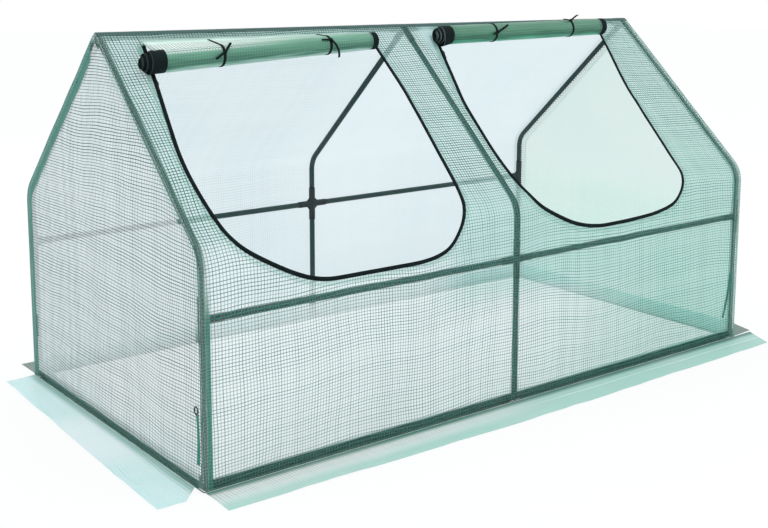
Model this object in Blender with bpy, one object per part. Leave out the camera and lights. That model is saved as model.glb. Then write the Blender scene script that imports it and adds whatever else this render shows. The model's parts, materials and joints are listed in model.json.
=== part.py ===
"""Mini greenhouse: a tube frame with push-fit connectors under a fitted film cover.

The cover has two zipped doors in its front, shown rolled up and tied below the ridge,
and a ground flap along each side. Metres, +Z up. X runs along the ridge, the doors face
-Y, the ground is z = 0 and the origin is under the middle of the whole greenhouse.
"""

import math
from typing import NamedTuple

import bmesh
import bpy
from mathutils import Matrix, Vector

# Frame, along the centre lines of its tubes
HOOP_SPACING = 0.892
DEPTH = 0.922
MID_RAIL_HEIGHT = 0.371
EAVE_HEIGHT = 0.507
RIDGE_HEIGHT = 0.933
BEND_RADIUS = 0.070
TUBE_RADIUS = 0.008
TUBE_WALL = 0.0005

# Push-fit connectors
SLEEVE_REACH = 0.050
SLEEVE_WALL = 0.0012
SLEEVE_DRAFT = 0.0003
SLEEVE_STEP = 0.00008
STOP_WALL = 0.0017
HUB_WALL = 0.0020
FOOT_FLAT = 0.0002
WEB_REACH = 0.028
WEB_THICKNESS = 0.003

# Running and seating gap between pieces that touch
FIT = 0.0003

# Film cover
FILM = 0.0008
COVER_FOOT = 0.0005

# Zip tape round each door opening
TAPE = 0.0012
TAPE_WIDTH = 0.008
TAPE_OVERLAP = 0.002
DOOR_TOP = 0.050

# Rolled doors
ROLL_SEAM = 0.022
ROLL_TURNS = 6
ROLL_CORE = 0.0075
COIL_PIN = 0.0032

# Cloth ties round the rolls
TIE_WIDTH = 0.006
TIE = 0.0010
TIE_KNOT = 0.0050

# Zip sliders
SLIDER_LENGTH = 0.014
SLIDER_PLATE = 0.0010
SLIDER_TAB = 0.022

# Points of a combined solid that lie closer than this are one
WELD = 0.000002

# Facets
SIDES = 12
HUB_SIDES = 14
BEND_STEPS = 6
RIDGE_STEPS = 3
ROLL_STEPS = 14
TIE_STEPS = 12


class Door(NamedTuple):
    """One zipped door: its U-shaped cut in the flat cover, and the roll it makes.

    Positions along the ridge are measured from the hoop at the left of the door's bay.
    The cut runs from its top left round to its top right, and each of its points is a
    position and a distance over the film from the ridge. The roll's drops are measured
    down the slope from the ridge to its axis, at its left and right end.
    """

    side: str
    cut: tuple
    roll_left: float
    roll_right: float
    roll_left_radius: float
    roll_right_radius: float
    roll_left_drop: float
    roll_right_drop: float
    telescope: float
    left_coil_width: float
    right_coil_width: float


class Tie(NamedTuple):
    """One tie: where it goes round its roll, the knot's angle and its two tails.

    A tail is its run along the roll, its turn about the roll and how far it stands off.
    """

    door: str
    name: str
    offset: float
    knot_angle: float
    tails: tuple


LEFT_DOOR = Door(
    side="left",
    cut=(
        (0.0920, DOOR_TOP), (0.0515, 0.375), (0.0500, 0.430), (0.0540, 0.489), (0.0605, 0.540),
        (0.0670, 0.580), (0.0755, 0.609), (0.0880, 0.629), (0.1040, 0.643), (0.1290, 0.660),
        (0.1700, 0.683), (0.2160, 0.707), (0.2620, 0.726), (0.3120, 0.737),
        (0.5720, 0.737), (0.6170, 0.732), (0.6540, 0.721), (0.6760, 0.704), (0.6980, 0.670),
        (0.7130, 0.638), (0.7270, 0.600), (0.7320, 0.560), (0.7370, 0.490),
        (0.7505, 0.240), (0.7460, DOOR_TOP),
    ),
    roll_left=0.099,
    roll_right=0.709,
    roll_left_radius=0.0275,
    roll_right_radius=0.0225,
    roll_left_drop=0.122,
    roll_right_drop=0.079,
    telescope=0.018,
    left_coil_width=0.038,
    right_coil_width=0.018,
)
RIGHT_DOOR = Door(
    side="right",
    cut=(
        (0.0790, DOOR_TOP), (0.0280, 0.300), (0.0225, 0.460), (0.0260, 0.523), (0.0320, 0.562),
        (0.0430, 0.603), (0.0570, 0.630), (0.0750, 0.649), (0.1020, 0.665), (0.1450, 0.686),
        (0.1900, 0.706), (0.2400, 0.720), (0.3000, 0.7285),
        (0.4300, 0.726), (0.5100, 0.721), (0.5600, 0.713), (0.5920, 0.705), (0.6130, 0.691),
        (0.6300, 0.667), (0.6430, 0.636), (0.6500, 0.600), (0.6540, 0.545), (0.6610, 0.430),
        (0.6760, 0.290), (0.7370, DOOR_TOP),
    ),
    roll_left=0.095,
    roll_right=0.698,
    roll_left_radius=0.0260,
    roll_right_radius=0.0250,
    roll_left_drop=0.071,
    roll_right_drop=0.057,
    telescope=0.014,
    left_coil_width=0.036,
    right_coil_width=0.022,
)
DOORS = (LEFT_DOOR, RIGHT_DOOR)
TIES = (
    Tie("left", "roll_tie_far_left", 0.153, math.radians(65), ((0.022, 0.70, 0.004), (-0.028, -0.50, 0.002))),
    Tie("left", "roll_tie_left", 0.4705, math.radians(78), ((0.026, -1.60, 0.010), (-0.030, 0.05, 0.002))),
    Tie("right", "roll_tie_right", 0.160, math.radians(50), ((0.042, 0.60, 0.004), (-0.020, -0.20, 0.002))),
    Tie("right", "roll_tie_far_right", 0.475, math.radians(105), ((0.034, 0.25, 0.012), (-0.032, 0.10, 0.003))),
)

# Derived frame lines
X_AXIS = Vector((1, 0, 0))
Y_AXIS = Vector((0, 1, 0))
Z_AXIS = Vector((0, 0, 1))
SLOPE_ANGLE = math.atan2(RIDGE_HEIGHT - EAVE_HEIGHT, DEPTH / 2)
BEND_ANGLE = math.pi / 2 - SLOPE_ANGLE
BEND_TANGENT = BEND_RADIUS * math.tan(BEND_ANGLE / 2)
SLOPE_RUN = math.hypot(DEPTH / 2, RIDGE_HEIGHT - EAVE_HEIGHT) - BEND_TANGENT
DOWN_SLOPE = Vector((0, -math.cos(SLOPE_ANGLE), -math.sin(SLOPE_ANGLE)))
OUT_OF_SLOPE = Vector((0, -math.sin(SLOPE_ANGLE), math.cos(SLOPE_ANGLE)))
RIDGE = Vector((0, 0, RIDGE_HEIGHT))
HOOPS = {"left": -HOOP_SPACING, "middle": 0.0, "right": HOOP_SPACING}

# Derived sections
FLAT = math.cos(math.pi / SIDES)
BORE_RADIUS = TUBE_RADIUS + FIT
MOUTH_RADIUS = BORE_RADIUS + SLEEVE_WALL
ROOT_RADIUS = MOUTH_RADIUS + SLEEVE_DRAFT
HUB_RADIUS = BORE_RADIUS + HUB_WALL
SLEEVE_STOP = BORE_RADIUS + STOP_WALL
BASE_HEIGHT = MOUTH_RADIUS * FLAT - FOOT_FLAT
FILM_LIFT = HUB_RADIUS + FIT
COVER_LIFT = FILM_LIFT + FILM
TAPE_TOP = COVER_LIFT + FIT + TAPE
SEAM_LIFT = COVER_LIFT + FIT + FILM / 2

# Finishes: base colour, roughness and metallic value
TUBE_PAINT = ((0.035, 0.095, 0.085, 1), 0.42, 0.30)
MOULDING = ((0.020, 0.045, 0.045, 1), 0.48, 0.0)
FILM_FINISH = ((0.62, 0.86, 0.80, 0.45), 0.30, 0.0)
ROLL_FINISH = ((0.25, 0.52, 0.41, 0.85), 0.32, 0.0)
TAPE_FINISH = ((0.012, 0.018, 0.020, 1), 0.70, 0.0)
SLIDER_FINISH = ((0.020, 0.024, 0.026, 1), 0.35, 0.60)


def clear_scene():
    """Remove every object, so that the model starts from an empty scene."""
    for item in list(bpy.data.objects):
        bpy.data.objects.remove(item, do_unlink=True)


def material_for(name, finish):
    """A Principled material with a finish's colour, roughness and metallic value."""
    colour, roughness, metallic = finish
    material = bpy.data.materials.new(name)
    material.use_nodes = True
    shader = material.node_tree.nodes["Principled BSDF"]
    shader.inputs["Base Color"].default_value = colour
    shader.inputs["Roughness"].default_value = roughness
    shader.inputs["Metallic"].default_value = metallic
    shader.inputs["Alpha"].default_value = colour[3]
    return material


def place(name, mesh, finish, location=(0, 0, 0), turn=None, parent=None):
    """Put a mesh in the scene as a named piece with its own material."""
    piece = bpy.data.objects.new(name, mesh.copy())
    bpy.context.scene.collection.objects.link(piece)
    piece.data.name = name
    piece.data.materials.clear()
    piece.data.materials.append(material_for(name, finish))
    piece.location = location
    if turn is not None:
        piece.rotation_euler = turn.to_euler()
    if parent is not None:
        piece.parent = parent
    return piece


def finished(bm, name):
    """Close a bmesh into a mesh whose faces point outwards and whose curves look round."""
    bmesh.ops.remove_doubles(bm, verts=bm.verts[:], dist=1e-7)
    bmesh.ops.recalc_face_normals(bm, faces=bm.faces[:])
    mesh = bpy.data.meshes.new(name)
    bm.to_mesh(mesh)
    bm.free()
    mesh.shade_smooth()
    mesh.set_sharp_from_angle(angle=math.radians(40))
    return mesh


def combine(base, tool, operation):
    """Join or cut two closed meshes with an exact Boolean and return the new mesh."""
    first = bpy.data.objects.new("base", base)
    second = bpy.data.objects.new("tool", tool)
    for item in (first, second):
        bpy.context.scene.collection.objects.link(item)
    step = first.modifiers.new("combine", "BOOLEAN")
    step.operation = operation
    step.solver = "EXACT"
    step.object = second
    graph = bpy.context.evaluated_depsgraph_get()
    result = bpy.data.meshes.new_from_object(first.evaluated_get(graph))
    for item in (first, second):
        bpy.data.objects.remove(item, do_unlink=True)
    bm = bmesh.new()
    bm.from_mesh(result)
    bmesh.ops.remove_doubles(bm, verts=bm.verts[:], dist=WELD)
    bmesh.ops.dissolve_degenerate(bm, edges=bm.edges[:], dist=WELD)
    bm.to_mesh(result)
    bm.free()
    return result


def combine_all(solids, cuts=()):
    """Join solids into one body, then take the cuts out of it."""
    result = solids[0]
    for solid in solids[1:]:
        result = combine(result, solid, "UNION")
    for cut in cuts:
        result = combine(result, cut, "DIFFERENCE")
    result.shade_smooth()
    result.set_sharp_from_angle(angle=math.radians(40))
    return result


def add_loft(bm, rings, closed=False):
    """Skin a row of like rings with quads and cap both ends, or close the row on itself."""
    rows = [[bm.verts.new(point) for point in ring] for ring in rings]
    count = len(rows[0])
    pairs = list(zip(rows, rows[1:]))
    if closed:
        pairs.append((rows[-1], rows[0]))
    for low, high in pairs:
        for i in range(count):
            j = (i + 1) % count
            bm.faces.new((low[i], low[j], high[j], high[i]))
    if not closed:
        bm.faces.new(rows[0][::-1])
        bm.faces.new(rows[-1])


def loft(name, rings, closed=False):
    """A closed mesh through a row of rings."""
    bm = bmesh.new()
    add_loft(bm, rings, closed)
    return finished(bm, name)


def round_ring(centre, side, up, radius, sides=SIDES):
    """One round section, with a flat facing each of its two axes."""
    points = []
    for i in range(sides):
        angle = 2 * math.pi * (i + 0.5) / sides
        points.append(centre + radius * (math.cos(angle) * side + math.sin(angle) * up))
    return points


def across(direction):
    """Two axes square to a direction, the same for every piece on one line."""
    side = Y_AXIS if abs(direction.dot(X_AXIS)) > 0.9 else X_AXIS
    return side, direction.cross(side)


def prism(name, outline, axis):
    """A flat outline pushed along an axis."""
    return loft(name, [outline, [point + axis for point in outline]])


# Frame tubes

def tube_mesh(name, path):
    """A hollow tube along a path of points with their directions."""
    rings = []
    for centre, direction in path:
        rings.append(round_ring(centre, *across(direction), TUBE_RADIUS))
    for centre, direction in reversed(path):
        rings.append(round_ring(centre, *across(direction), TUBE_RADIUS - TUBE_WALL))
    return loft(name, rings, closed=True)


def straight_tube(name, start, end):
    """A tube between the stops of the connectors whose centres are start and end."""
    direction = (end - start).normalized()
    middle = (start + end) / 2
    half = (end - start).length / 2 - SLEEVE_STOP - FIT
    path = [(-half * direction, direction), (half * direction, direction)]
    return place(name, tube_mesh(name, path), TUBE_PAINT, middle)


def rafter_path():
    """The front rafter's centre line, from the mid-rail connector round the eave to the ridge."""
    start = Vector((0, -DEPTH / 2, MID_RAIL_HEIGHT + SLEEVE_STOP + FIT))
    path = [(start, Z_AXIS)]
    centre = bend_centre()
    for step in range(BEND_STEPS + 1):
        angle = BEND_ANGLE * (1 - step / BEND_STEPS) + SLOPE_ANGLE
        outward = Vector((0, -math.sin(angle), math.cos(angle)))
        along = Vector((0, math.cos(angle), math.sin(angle)))
        path.append((centre + BEND_RADIUS * outward, along))
    path.append((RIDGE + DOWN_SLOPE * (SLEEVE_STOP + FIT), -DOWN_SLOPE))
    return path


def bend_centre():
    """Centre of the eave bend on the door side."""
    return Vector((0, BEND_RADIUS - DEPTH / 2, EAVE_HEIGHT - BEND_TANGENT))


def build_tubes():
    """Every frame tube: rafters, posts and rails."""
    rafter = tube_mesh("rafter", rafter_path())
    half_turn = Matrix.Rotation(math.pi, 3, "Z")
    for side, x in HOOPS.items():
        place(f"front_rafter_{side}", rafter, TUBE_PAINT, (x, 0, 0))
        place(f"back_rafter_{side}", rafter, TUBE_PAINT, (x, 0, 0), half_turn)
        for face, y in (("front", -DEPTH / 2), ("back", DEPTH / 2)):
            foot = Vector((x, y, BASE_HEIGHT))
            straight_tube(f"{face}_post_{side}", foot, Vector((x, y, MID_RAIL_HEIGHT)))
    rails = {
        "ridge_rail": (0, RIDGE_HEIGHT),
        "front_mid_rail": (-DEPTH / 2, MID_RAIL_HEIGHT),
        "back_mid_rail": (DEPTH / 2, MID_RAIL_HEIGHT),
        "front_base_rail": (-DEPTH / 2, BASE_HEIGHT),
        "back_base_rail": (DEPTH / 2, BASE_HEIGHT),
    }
    for name, (y, z) in rails.items():
        for side, x in (("left", -HOOP_SPACING), ("right", HOOP_SPACING)):
            straight_tube(f"{name}_{side}", Vector((min(x, 0), y, z)), Vector((max(x, 0), y, z)))
    for side, x in (("left", -HOOP_SPACING), ("right", HOOP_SPACING)):
        front = Vector((x, -DEPTH / 2, BASE_HEIGHT))
        straight_tube(f"end_base_rail_{side}", front, Vector((x, DEPTH / 2, BASE_HEIGHT)))


# Connectors

def sleeve(direction, root_radius, through=False):
    """A drafted sleeve out of the hub, or one that runs through it, with its bores."""
    axes = across(direction)
    inner = -direction * (SLEEVE_REACH if through else STOP_WALL)
    rings = [
        round_ring(inner, *axes, MOUTH_RADIUS if through else BORE_RADIUS),
        round_ring(Vector(), *axes, root_radius),
        round_ring(direction * SLEEVE_REACH, *axes, MOUTH_RADIUS),
    ]
    bores = []
    for way in (direction, -direction) if through else (direction,):
        stop = round_ring(way * SLEEVE_STOP, *axes, BORE_RADIUS)
        past = round_ring(way * (SLEEVE_REACH + TUBE_RADIUS), *axes, BORE_RADIUS)
        bores.append(loft("bore", [stop, past]))
    return loft("sleeve", rings), bores


def web(*directions):
    """A thin gusset plate that reaches out to a point on each of some sleeves in one plane."""
    normal = directions[0].cross(directions[1]).normalized() * WEB_THICKNESS
    corners = [direction * WEB_REACH for direction in directions]
    if len(directions) == 2:
        corners.append(-(directions[0] + directions[1]) * STOP_WALL)
    return prism("web", [corner - normal / 2 for corner in corners], normal)


def hub():
    """The round middle of a connector."""
    bm = bmesh.new()
    bmesh.ops.create_uvsphere(bm, u_segments=HUB_SIDES, v_segments=HUB_SIDES // 2, radius=HUB_RADIUS)
    return finished(bm, "hub")


def connector_mesh(runs=(), branches=(), webs=(), footed=False):
    """A moulded connector: sleeves that run straight through, sleeves one way, and webs.

    Each next sleeve is slimmer at its root, so that no two have a flat in one plane.
    """
    solids = [hub()]
    cuts = []
    for index, way in enumerate((*runs, *branches)):
        outer, bores = sleeve(way, ROOT_RADIUS - index * SLEEVE_STEP, way in runs)
        solids.append(outer)
        cuts.extend(bores)
    solids.extend(web(*directions) for directions in webs)
    if footed:
        reach = 2 * SLEEVE_REACH
        corners = [Vector((x, y, -BASE_HEIGHT)) for x, y in
                   ((-reach, -reach), (reach, -reach), (reach, reach), (-reach, reach))]
        cuts.append(prism("ground", corners, Vector((0, 0, -reach))))
    return combine_all(solids, cuts)


def build_connectors():
    """The ridge, mid-rail and base connectors of the three hoops."""
    half_turn = Matrix.Rotation(math.pi, 3, "Z")
    slopes = (DOWN_SLOPE, half_turn @ DOWN_SLOPE)
    ridge_end = connector_mesh(branches=(*slopes, X_AXIS), webs=(slopes,))
    ridge_middle = connector_mesh(runs=(X_AXIS,), branches=slopes, webs=(slopes,))
    tee = connector_mesh(runs=(Z_AXIS,), branches=(X_AXIS,), webs=((Z_AXIS, X_AXIS, -Z_AXIS),))
    cross = connector_mesh(runs=(Z_AXIS, X_AXIS), webs=((Z_AXIS, X_AXIS, -Z_AXIS, -X_AXIS),))
    corner_webs = ((X_AXIS, Z_AXIS), (Y_AXIS, Z_AXIS))
    corner = connector_mesh(branches=(X_AXIS, Y_AXIS, Z_AXIS), webs=corner_webs, footed=True)
    base_webs = ((X_AXIS, Z_AXIS, -X_AXIS),)
    base_tee = connector_mesh(runs=(X_AXIS,), branches=(Z_AXIS,), webs=base_webs, footed=True)

    place("ridge_joint_left", ridge_end, MOULDING, (-HOOP_SPACING, 0, RIDGE_HEIGHT))
    place("ridge_joint_middle", ridge_middle, MOULDING, (0, 0, RIDGE_HEIGHT))
    place("ridge_joint_right", ridge_end, MOULDING, (HOOP_SPACING, 0, RIDGE_HEIGHT), half_turn)
    for face, y in (("front", -DEPTH / 2), ("back", DEPTH / 2)):
        left = (-HOOP_SPACING, y, MID_RAIL_HEIGHT)
        right = (HOOP_SPACING, y, MID_RAIL_HEIGHT)
        place(f"{face}_tee_left", tee, MOULDING, left)
        place(f"{face}_cross_middle", cross, MOULDING, (0, y, MID_RAIL_HEIGHT))
        place(f"{face}_tee_right", tee, MOULDING, right, half_turn)
        place(f"{face}_foot_middle", base_tee, MOULDING, (0, y, BASE_HEIGHT))
    corners = (
        ("front_foot_left", -1, -1, 0),
        ("front_foot_right", 1, -1, 90),
        ("back_foot_right", 1, 1, 180),
        ("back_foot_left", -1, 1, 270),
    )
    for name, x_side, y_side, degrees in corners:
        position = (x_side * HOOP_SPACING, y_side * DEPTH / 2, BASE_HEIGHT)
        place(name, corner, MOULDING, position, Matrix.Rotation(math.radians(degrees), 3, "Z"))


# Film cover: each sheet is drawn flat, x across and y up towards the ridge, then wrapped

def film_stations():
    """Fold lines of the film: distance from the ridge, frame point and outward normal."""
    stations = []
    for step in range(RIDGE_STEPS + 1):
        angle = SLOPE_ANGLE * step / RIDGE_STEPS
        stations.append((FILM_LIFT * angle, RIDGE, Vector((0, -math.sin(angle), math.cos(angle)))))
    bend_start = FILM_LIFT * SLOPE_ANGLE + SLOPE_RUN
    for step in range(BEND_STEPS + 1):
        turned = BEND_ANGLE * step / BEND_STEPS
        angle = SLOPE_ANGLE + turned
        normal = Vector((0, -math.sin(angle), math.cos(angle)))
        point = bend_centre() + BEND_RADIUS * normal
        stations.append((bend_start + (BEND_RADIUS + FILM_LIFT) * turned, point, normal))
    last, point, normal = stations[-1]
    stations.append((last + point.z - COVER_FOOT, Vector((0, point.y, COVER_FOOT)), normal))
    return stations


STATIONS = film_stations()
COVER_LENGTH = STATIONS[-1][0]


def wrap(flat):
    """Move a point of a flat sheet (x, minus its distance from the ridge, lift) on to the frame."""
    distance = -flat.y
    index = 0
    while index < len(STATIONS) - 2 and distance > STATIONS[index + 1][0]:
        index += 1
    low, low_point, low_normal = STATIONS[index]
    high, high_point, high_normal = STATIONS[index + 1]
    lift = FILM_LIFT + flat.z
    start = low_point + lift * low_normal
    end = high_point + lift * high_normal
    return start.lerp(end, (distance - low) / (high - low)) + Vector((flat.x, 0, 0))


def wrapped(name, flat_mesh):
    """Crease a flat sheet on every fold line it crosses and wrap it round the frame."""
    bm = bmesh.new()
    bm.from_mesh(flat_mesh)
    for distance, _, _ in STATIONS[1:-1]:
        bmesh.ops.bisect_plane(
            bm,
            geom=bm.verts[:] + bm.edges[:] + bm.faces[:],
            dist=1e-6,
            plane_co=(0, -distance, 0),
            plane_no=(0, 1, 0),
        )
    bmesh.ops.triangulate(bm, faces=bm.faces[:])
    for vertex in bm.verts:
        vertex.co = wrap(vertex.co)
    return finished(bm, name)


def bay_start(door):
    """x of the hoop at the left of a door's bay."""
    return -HOOP_SPACING if door.side == "left" else 0.0


def door_edge(door, grow):
    """The cut of a door in the flat, from its top left round to its top right, grown outwards."""
    cut = [Vector((bay_start(door) + along, distance)) for along, distance in door.cut]
    points = [(cut[0].x - grow, cut[0].y)]
    for before, here, after in zip(cut, cut[1:], cut[2:]):
        coming = (here - before).normalized()
        going = (after - here).normalized()
        outwards = Vector((-coming.y - going.y, coming.x + going.x)).normalized()
        mitre = math.sqrt((1 + coming.dot(going)) / 2)
        points.append(tuple(here + outwards * grow / mitre))
    points.append((cut[-1].x + grow, cut[-1].y))
    return points


def flat_points(points, lift):
    """Points of a flat sheet at one lift above the film's inner face."""
    return [Vector((x, -distance, lift)) for x, distance in points]


def cover_side(name, with_doors):
    """The front or back sheet, from the ridge over the eave to the ground."""
    half = HOOP_SPACING + FILM_LIFT - FIT
    outline = [(-half, FIT / 2), (-half, COVER_LENGTH), (half, COVER_LENGTH), (half, FIT / 2)]
    thickness = Vector((0, 0, FILM))
    sheet = prism(name, flat_points(outline, 0), thickness)
    if with_doors:
        for door in DOORS:
            opening = flat_points(door_edge(door, TAPE_OVERLAP), -FILM)
            sheet = combine(sheet, prism("opening", opening, 3 * thickness), "DIFFERENCE")
    return wrapped(name, sheet)


def zip_track(door):
    """The zip tape sewn round a door opening."""
    inner = door_edge(door, -TAPE_WIDTH / 2)
    outer = door_edge(door, TAPE_WIDTH / 2)
    low = FILM + FIT
    high = low + TAPE
    rings = []
    for inside, outside in zip(inner, outer):
        base = flat_points((inside, outside), low)
        rings.append(base + flat_points((outside, inside), high))
    return wrapped("zip_track", loft("zip_track", rings))


def gable_mesh():
    """The left end sheet, cut to the outline of the front and back sheets."""
    front = [point + (FILM_LIFT + FILM) * normal for _, point, normal in STATIONS]
    back = [Vector((0, -point.y, point.z)) for point in reversed(front[1:])]
    shift = Vector((-HOOP_SPACING - COVER_LIFT, 0, 0))
    return prism("gable", [point + shift for point in back + front], Vector((FILM, 0, 0)))


def build_cover():
    """The cover's four sheets and the zip tape round its openings."""
    half_turn = Matrix.Rotation(math.pi, 3, "Z")
    place("cover_front", cover_side("cover_front", True), FILM_FINISH)
    place("cover_back", cover_side("cover_back", False), FILM_FINISH, turn=half_turn)
    gable = gable_mesh()
    place("cover_end_left", gable, FILM_FINISH)
    place("cover_end_right", gable, FILM_FINISH, turn=half_turn)
    for door in DOORS:
        place(f"zip_track_{door.side}", zip_track(door), TAPE_FINISH)


# Ground flaps. A corner is which end of the wall (-1, 0 or 1), how far past that end,
# and how far out from the seam.

FLAPS = {
    "ground_flap_front": (
        0, HOOP_SPACING, DEPTH / 2,
        ((-1, -0.0036, 0), (1, 0.080, 0), (1, 0.027, 0.100), (0, 0, 0.117), (-1, -0.001, 0.102)),
    ),
    "ground_flap_right": (
        90, DEPTH / 2, HOOP_SPACING,
        ((-1, -0.0026, 0), (1, -0.0026, 0), (1, -0.0040, 0.108), (-1, -0.085, 0.114), (-1, -0.0026, 0.084)),
    ),
    "ground_flap_back": (
        180, HOOP_SPACING, DEPTH / 2,
        ((-1, -0.0036, 0), (1, -0.0036, 0), (1, -0.002, 0.104), (0, 0, 0.117), (-1, -0.002, 0.100)),
    ),
    "ground_flap_left": (
        270, DEPTH / 2, HOOP_SPACING,
        ((-1, -0.0026, 0), (1, -0.039, 0), (1, 0.014, 0.048), (1, 0.014, 0.114), (-1, -0.017, 0.084)),
    ),
}


def build_ground_flaps():
    """The four flaps that lie on the ground, each with its origin on the seam it folds at."""
    for name, (degrees, half_length, half_depth, corners) in FLAPS.items():
        outline = []
        for end, past, out in corners:
            along = end * (half_length + COVER_LIFT + past)
            outline.append(Vector((along, -out, -FILM / 2)))
        mesh = prism(name, outline, Vector((0, 0, FILM)))
        turn = Matrix.Rotation(math.radians(degrees), 3, "Z")
        seam = Vector((0, -half_depth - COVER_LIFT - FIT - FILM / 2, FILM / 2))
        place(name, mesh, FILM_FINISH, turn @ seam, turn)


# Rolled doors

def slope_point(x, drop, lift):
    """A point by its drop down the front slope and its lift off the frame's centre plane."""
    return RIDGE + X_AXIS * x + DOWN_SLOPE * drop + OUT_OF_SLOPE * lift


def roll_ends(door):
    """x of the film roll's left and right end."""
    start = bay_start(door)
    return start + door.roll_left, start + door.roll_right


def roll_section(door, x):
    """The roll at one x: its radius, its axis in the slope and the angle where it is wound on."""
    left, right = roll_ends(door)
    share = (x - left) / (right - left)
    radius = door.roll_left_radius + (door.roll_right_radius - door.roll_left_radius) * share
    drop = door.roll_left_drop + (door.roll_right_drop - door.roll_left_drop) * share
    lift = TAPE_TOP + FIT + TAPE / 2 + radius
    seam_distance = math.hypot(ROLL_SEAM - drop, SEAM_LIFT - lift)
    seam_angle = math.atan2(SEAM_LIFT - lift, ROLL_SEAM - drop) % (2 * math.pi)
    return radius, drop, lift, seam_angle - math.acos(radius / seam_distance)


def winding_point(door, x, turns, offset):
    """A point on the rolled film after some turns from where it meets the roll."""
    radius, drop, lift, start = roll_section(door, x)
    if turns <= ROLL_TURNS:
        wound = radius - (radius - ROLL_CORE) * turns / ROLL_TURNS
    else:
        wound = ROLL_CORE - (ROLL_CORE - COIL_PIN + TAPE) * (turns - ROLL_TURNS)
    angle = start - 2 * math.pi * turns
    reach = wound + offset
    return slope_point(x, drop + reach * math.cos(angle), lift + reach * math.sin(angle))


def seam_point(door, x, offset):
    """A point on the flat end of the film, at the seam that the door hangs from."""
    start = roll_section(door, x)[3]
    return slope_point(x, ROLL_SEAM + offset * math.cos(start), SEAM_LIFT + offset * math.sin(start))


def wound_strip(door, lanes, thickness, turns, from_seam):
    """A strip of film or tape wound into the roll. Each lane gives x after some turns."""
    rings = []
    if from_seam:
        outside = [seam_point(door, lane(0), thickness / 2) for lane in lanes]
        inside = [seam_point(door, lane(0), -thickness / 2) for lane in reversed(lanes)]
        rings.append(outside + inside)
    for step in range(round(turns * ROLL_STEPS) + 1):
        turned = step / ROLL_STEPS
        outside = [winding_point(door, lane(turned), turned, thickness / 2) for lane in lanes]
        inside = [winding_point(door, lane(turned), turned, -thickness / 2) for lane in reversed(lanes)]
        rings.append(outside + inside)
    return loft("winding", rings)


def left_edge(door, turned):
    """x of the rolled film's left edge, where the inner turns stand out like a telescope."""
    return roll_ends(door)[0] - door.telescope * min(turned / ROLL_TURNS, 1)


def tie_places(door):
    """x of each tie of a door."""
    left = roll_ends(door)[0]
    return [left + tie.offset for tie in TIES if tie.door == door.side]


def door_film(door):
    """The rolled film, with a lane at both edges and at each tie."""
    lanes = [lambda turned: left_edge(door, turned)]
    for x in (*tie_places(door), roll_ends(door)[1]):
        lanes.append(lambda turned, x=x: x)
    return wound_strip(door, lanes, FILM, ROLL_TURNS, True)


def door_tape(door):
    """The door's half of the zip: a coil at each end of the roll, joined along the core."""
    turns = ROLL_TURNS + 1
    right = roll_ends(door)[1] + FIT
    left_lanes = (
        lambda turned: left_edge(door, turned) - FIT - door.left_coil_width,
        lambda turned: left_edge(door, turned) - FIT,
    )
    right_lanes = (lambda turned: right, lambda turned: right + door.right_coil_width)
    left_coil = wound_strip(door, left_lanes, TAPE, turns, False)
    right_coil = wound_strip(door, right_lanes, TAPE, turns, False)
    rings = []
    for x in (left_edge(door, turns) - FIT - door.left_coil_width / 2, right + door.right_coil_width / 2):
        _, drop, lift, _ = roll_section(door, x)
        rings.append(round_ring(slope_point(x, drop, lift), DOWN_SLOPE, OUT_OF_SLOPE, COIL_PIN, 8))
    return combine_all([left_coil, loft("core", rings), right_coil])


def tie_point(door, x, angle, reach):
    """A point beside the roll, by its angle about the roll's axis and its reach from it."""
    _, drop, lift, _ = roll_section(door, x)
    return slope_point(x, drop + reach * math.cos(angle), lift + reach * math.sin(angle))


def tie_band(door, x):
    """The band of a tie: down from the seam over the roll, under it and up behind."""
    inside = FILM / 2 + FIT
    half = X_AXIS * TIE_WIDTH / 2
    sides = []
    for reach in (inside, inside + TIE):
        path = [seam_point(door, x, reach).lerp(winding_point(door, x, 0, reach), 0.35)]
        for step in range(TIE_STEPS + 1):
            path.append(winding_point(door, x, step / ROLL_STEPS, reach))
        sides.append(path)
    rings = [[near - half, near + half, far + half, far - half] for near, far in zip(*sides)]
    return loft("band", rings)


def tie_tail(door, x, knot_angle, tail):
    """One loose end of a tie, lying off the knot along the roll."""
    run, turn, rise = tail
    radius = roll_section(door, x)[0] + FILM / 2 + FIT + TIE
    steps = 4
    path = []
    for step in range(steps + 1):
        share = step / steps
        reach = radius + TIE_KNOT * 0.4 + rise * math.sin(share * math.pi / 2)
        path.append((x + run * share, knot_angle + turn * share, reach))
    rings = []
    for index, (at, angle, reach) in enumerate(path):
        here = tie_point(door, at, angle, reach)
        ahead = path[min(index + 1, steps)]
        behind = path[max(index - 1, 0)]
        along = (tie_point(door, *ahead) - tie_point(door, *behind)).normalized()
        out = (tie_point(door, at, angle, reach + 1) - here).normalized()
        wide = along.cross(out).normalized() * TIE_WIDTH * 0.4
        thick = out * TIE / 2
        rings.append([here - wide - thick, here + wide - thick, here + wide + thick, here - wide + thick])
    return loft("tail", rings)


def tie_mesh(tie, door):
    """A whole tie: band, knot and two tails."""
    x = roll_ends(door)[0] + tie.offset
    reach = roll_section(door, x)[0] + FILM / 2 + FIT + TIE
    knot = bmesh.new()
    bmesh.ops.create_uvsphere(knot, u_segments=8, v_segments=5, radius=TIE_KNOT)
    centre = tie_point(door, x, tie.knot_angle, reach + TIE_KNOT * 0.5)
    out = (centre - tie_point(door, x, tie.knot_angle, 0)).normalized()
    flatten = Matrix.Diagonal((1, 1, 0.75)).to_4x4()
    stand = Z_AXIS.rotation_difference(out).to_matrix().to_4x4()
    knot.transform(Matrix.Translation(centre) @ stand @ flatten)
    tails = [tie_tail(door, x, tie.knot_angle, tail) for tail in tie.tails]
    return combine_all([tie_band(door, x), finished(knot, "knot"), *tails])


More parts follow.
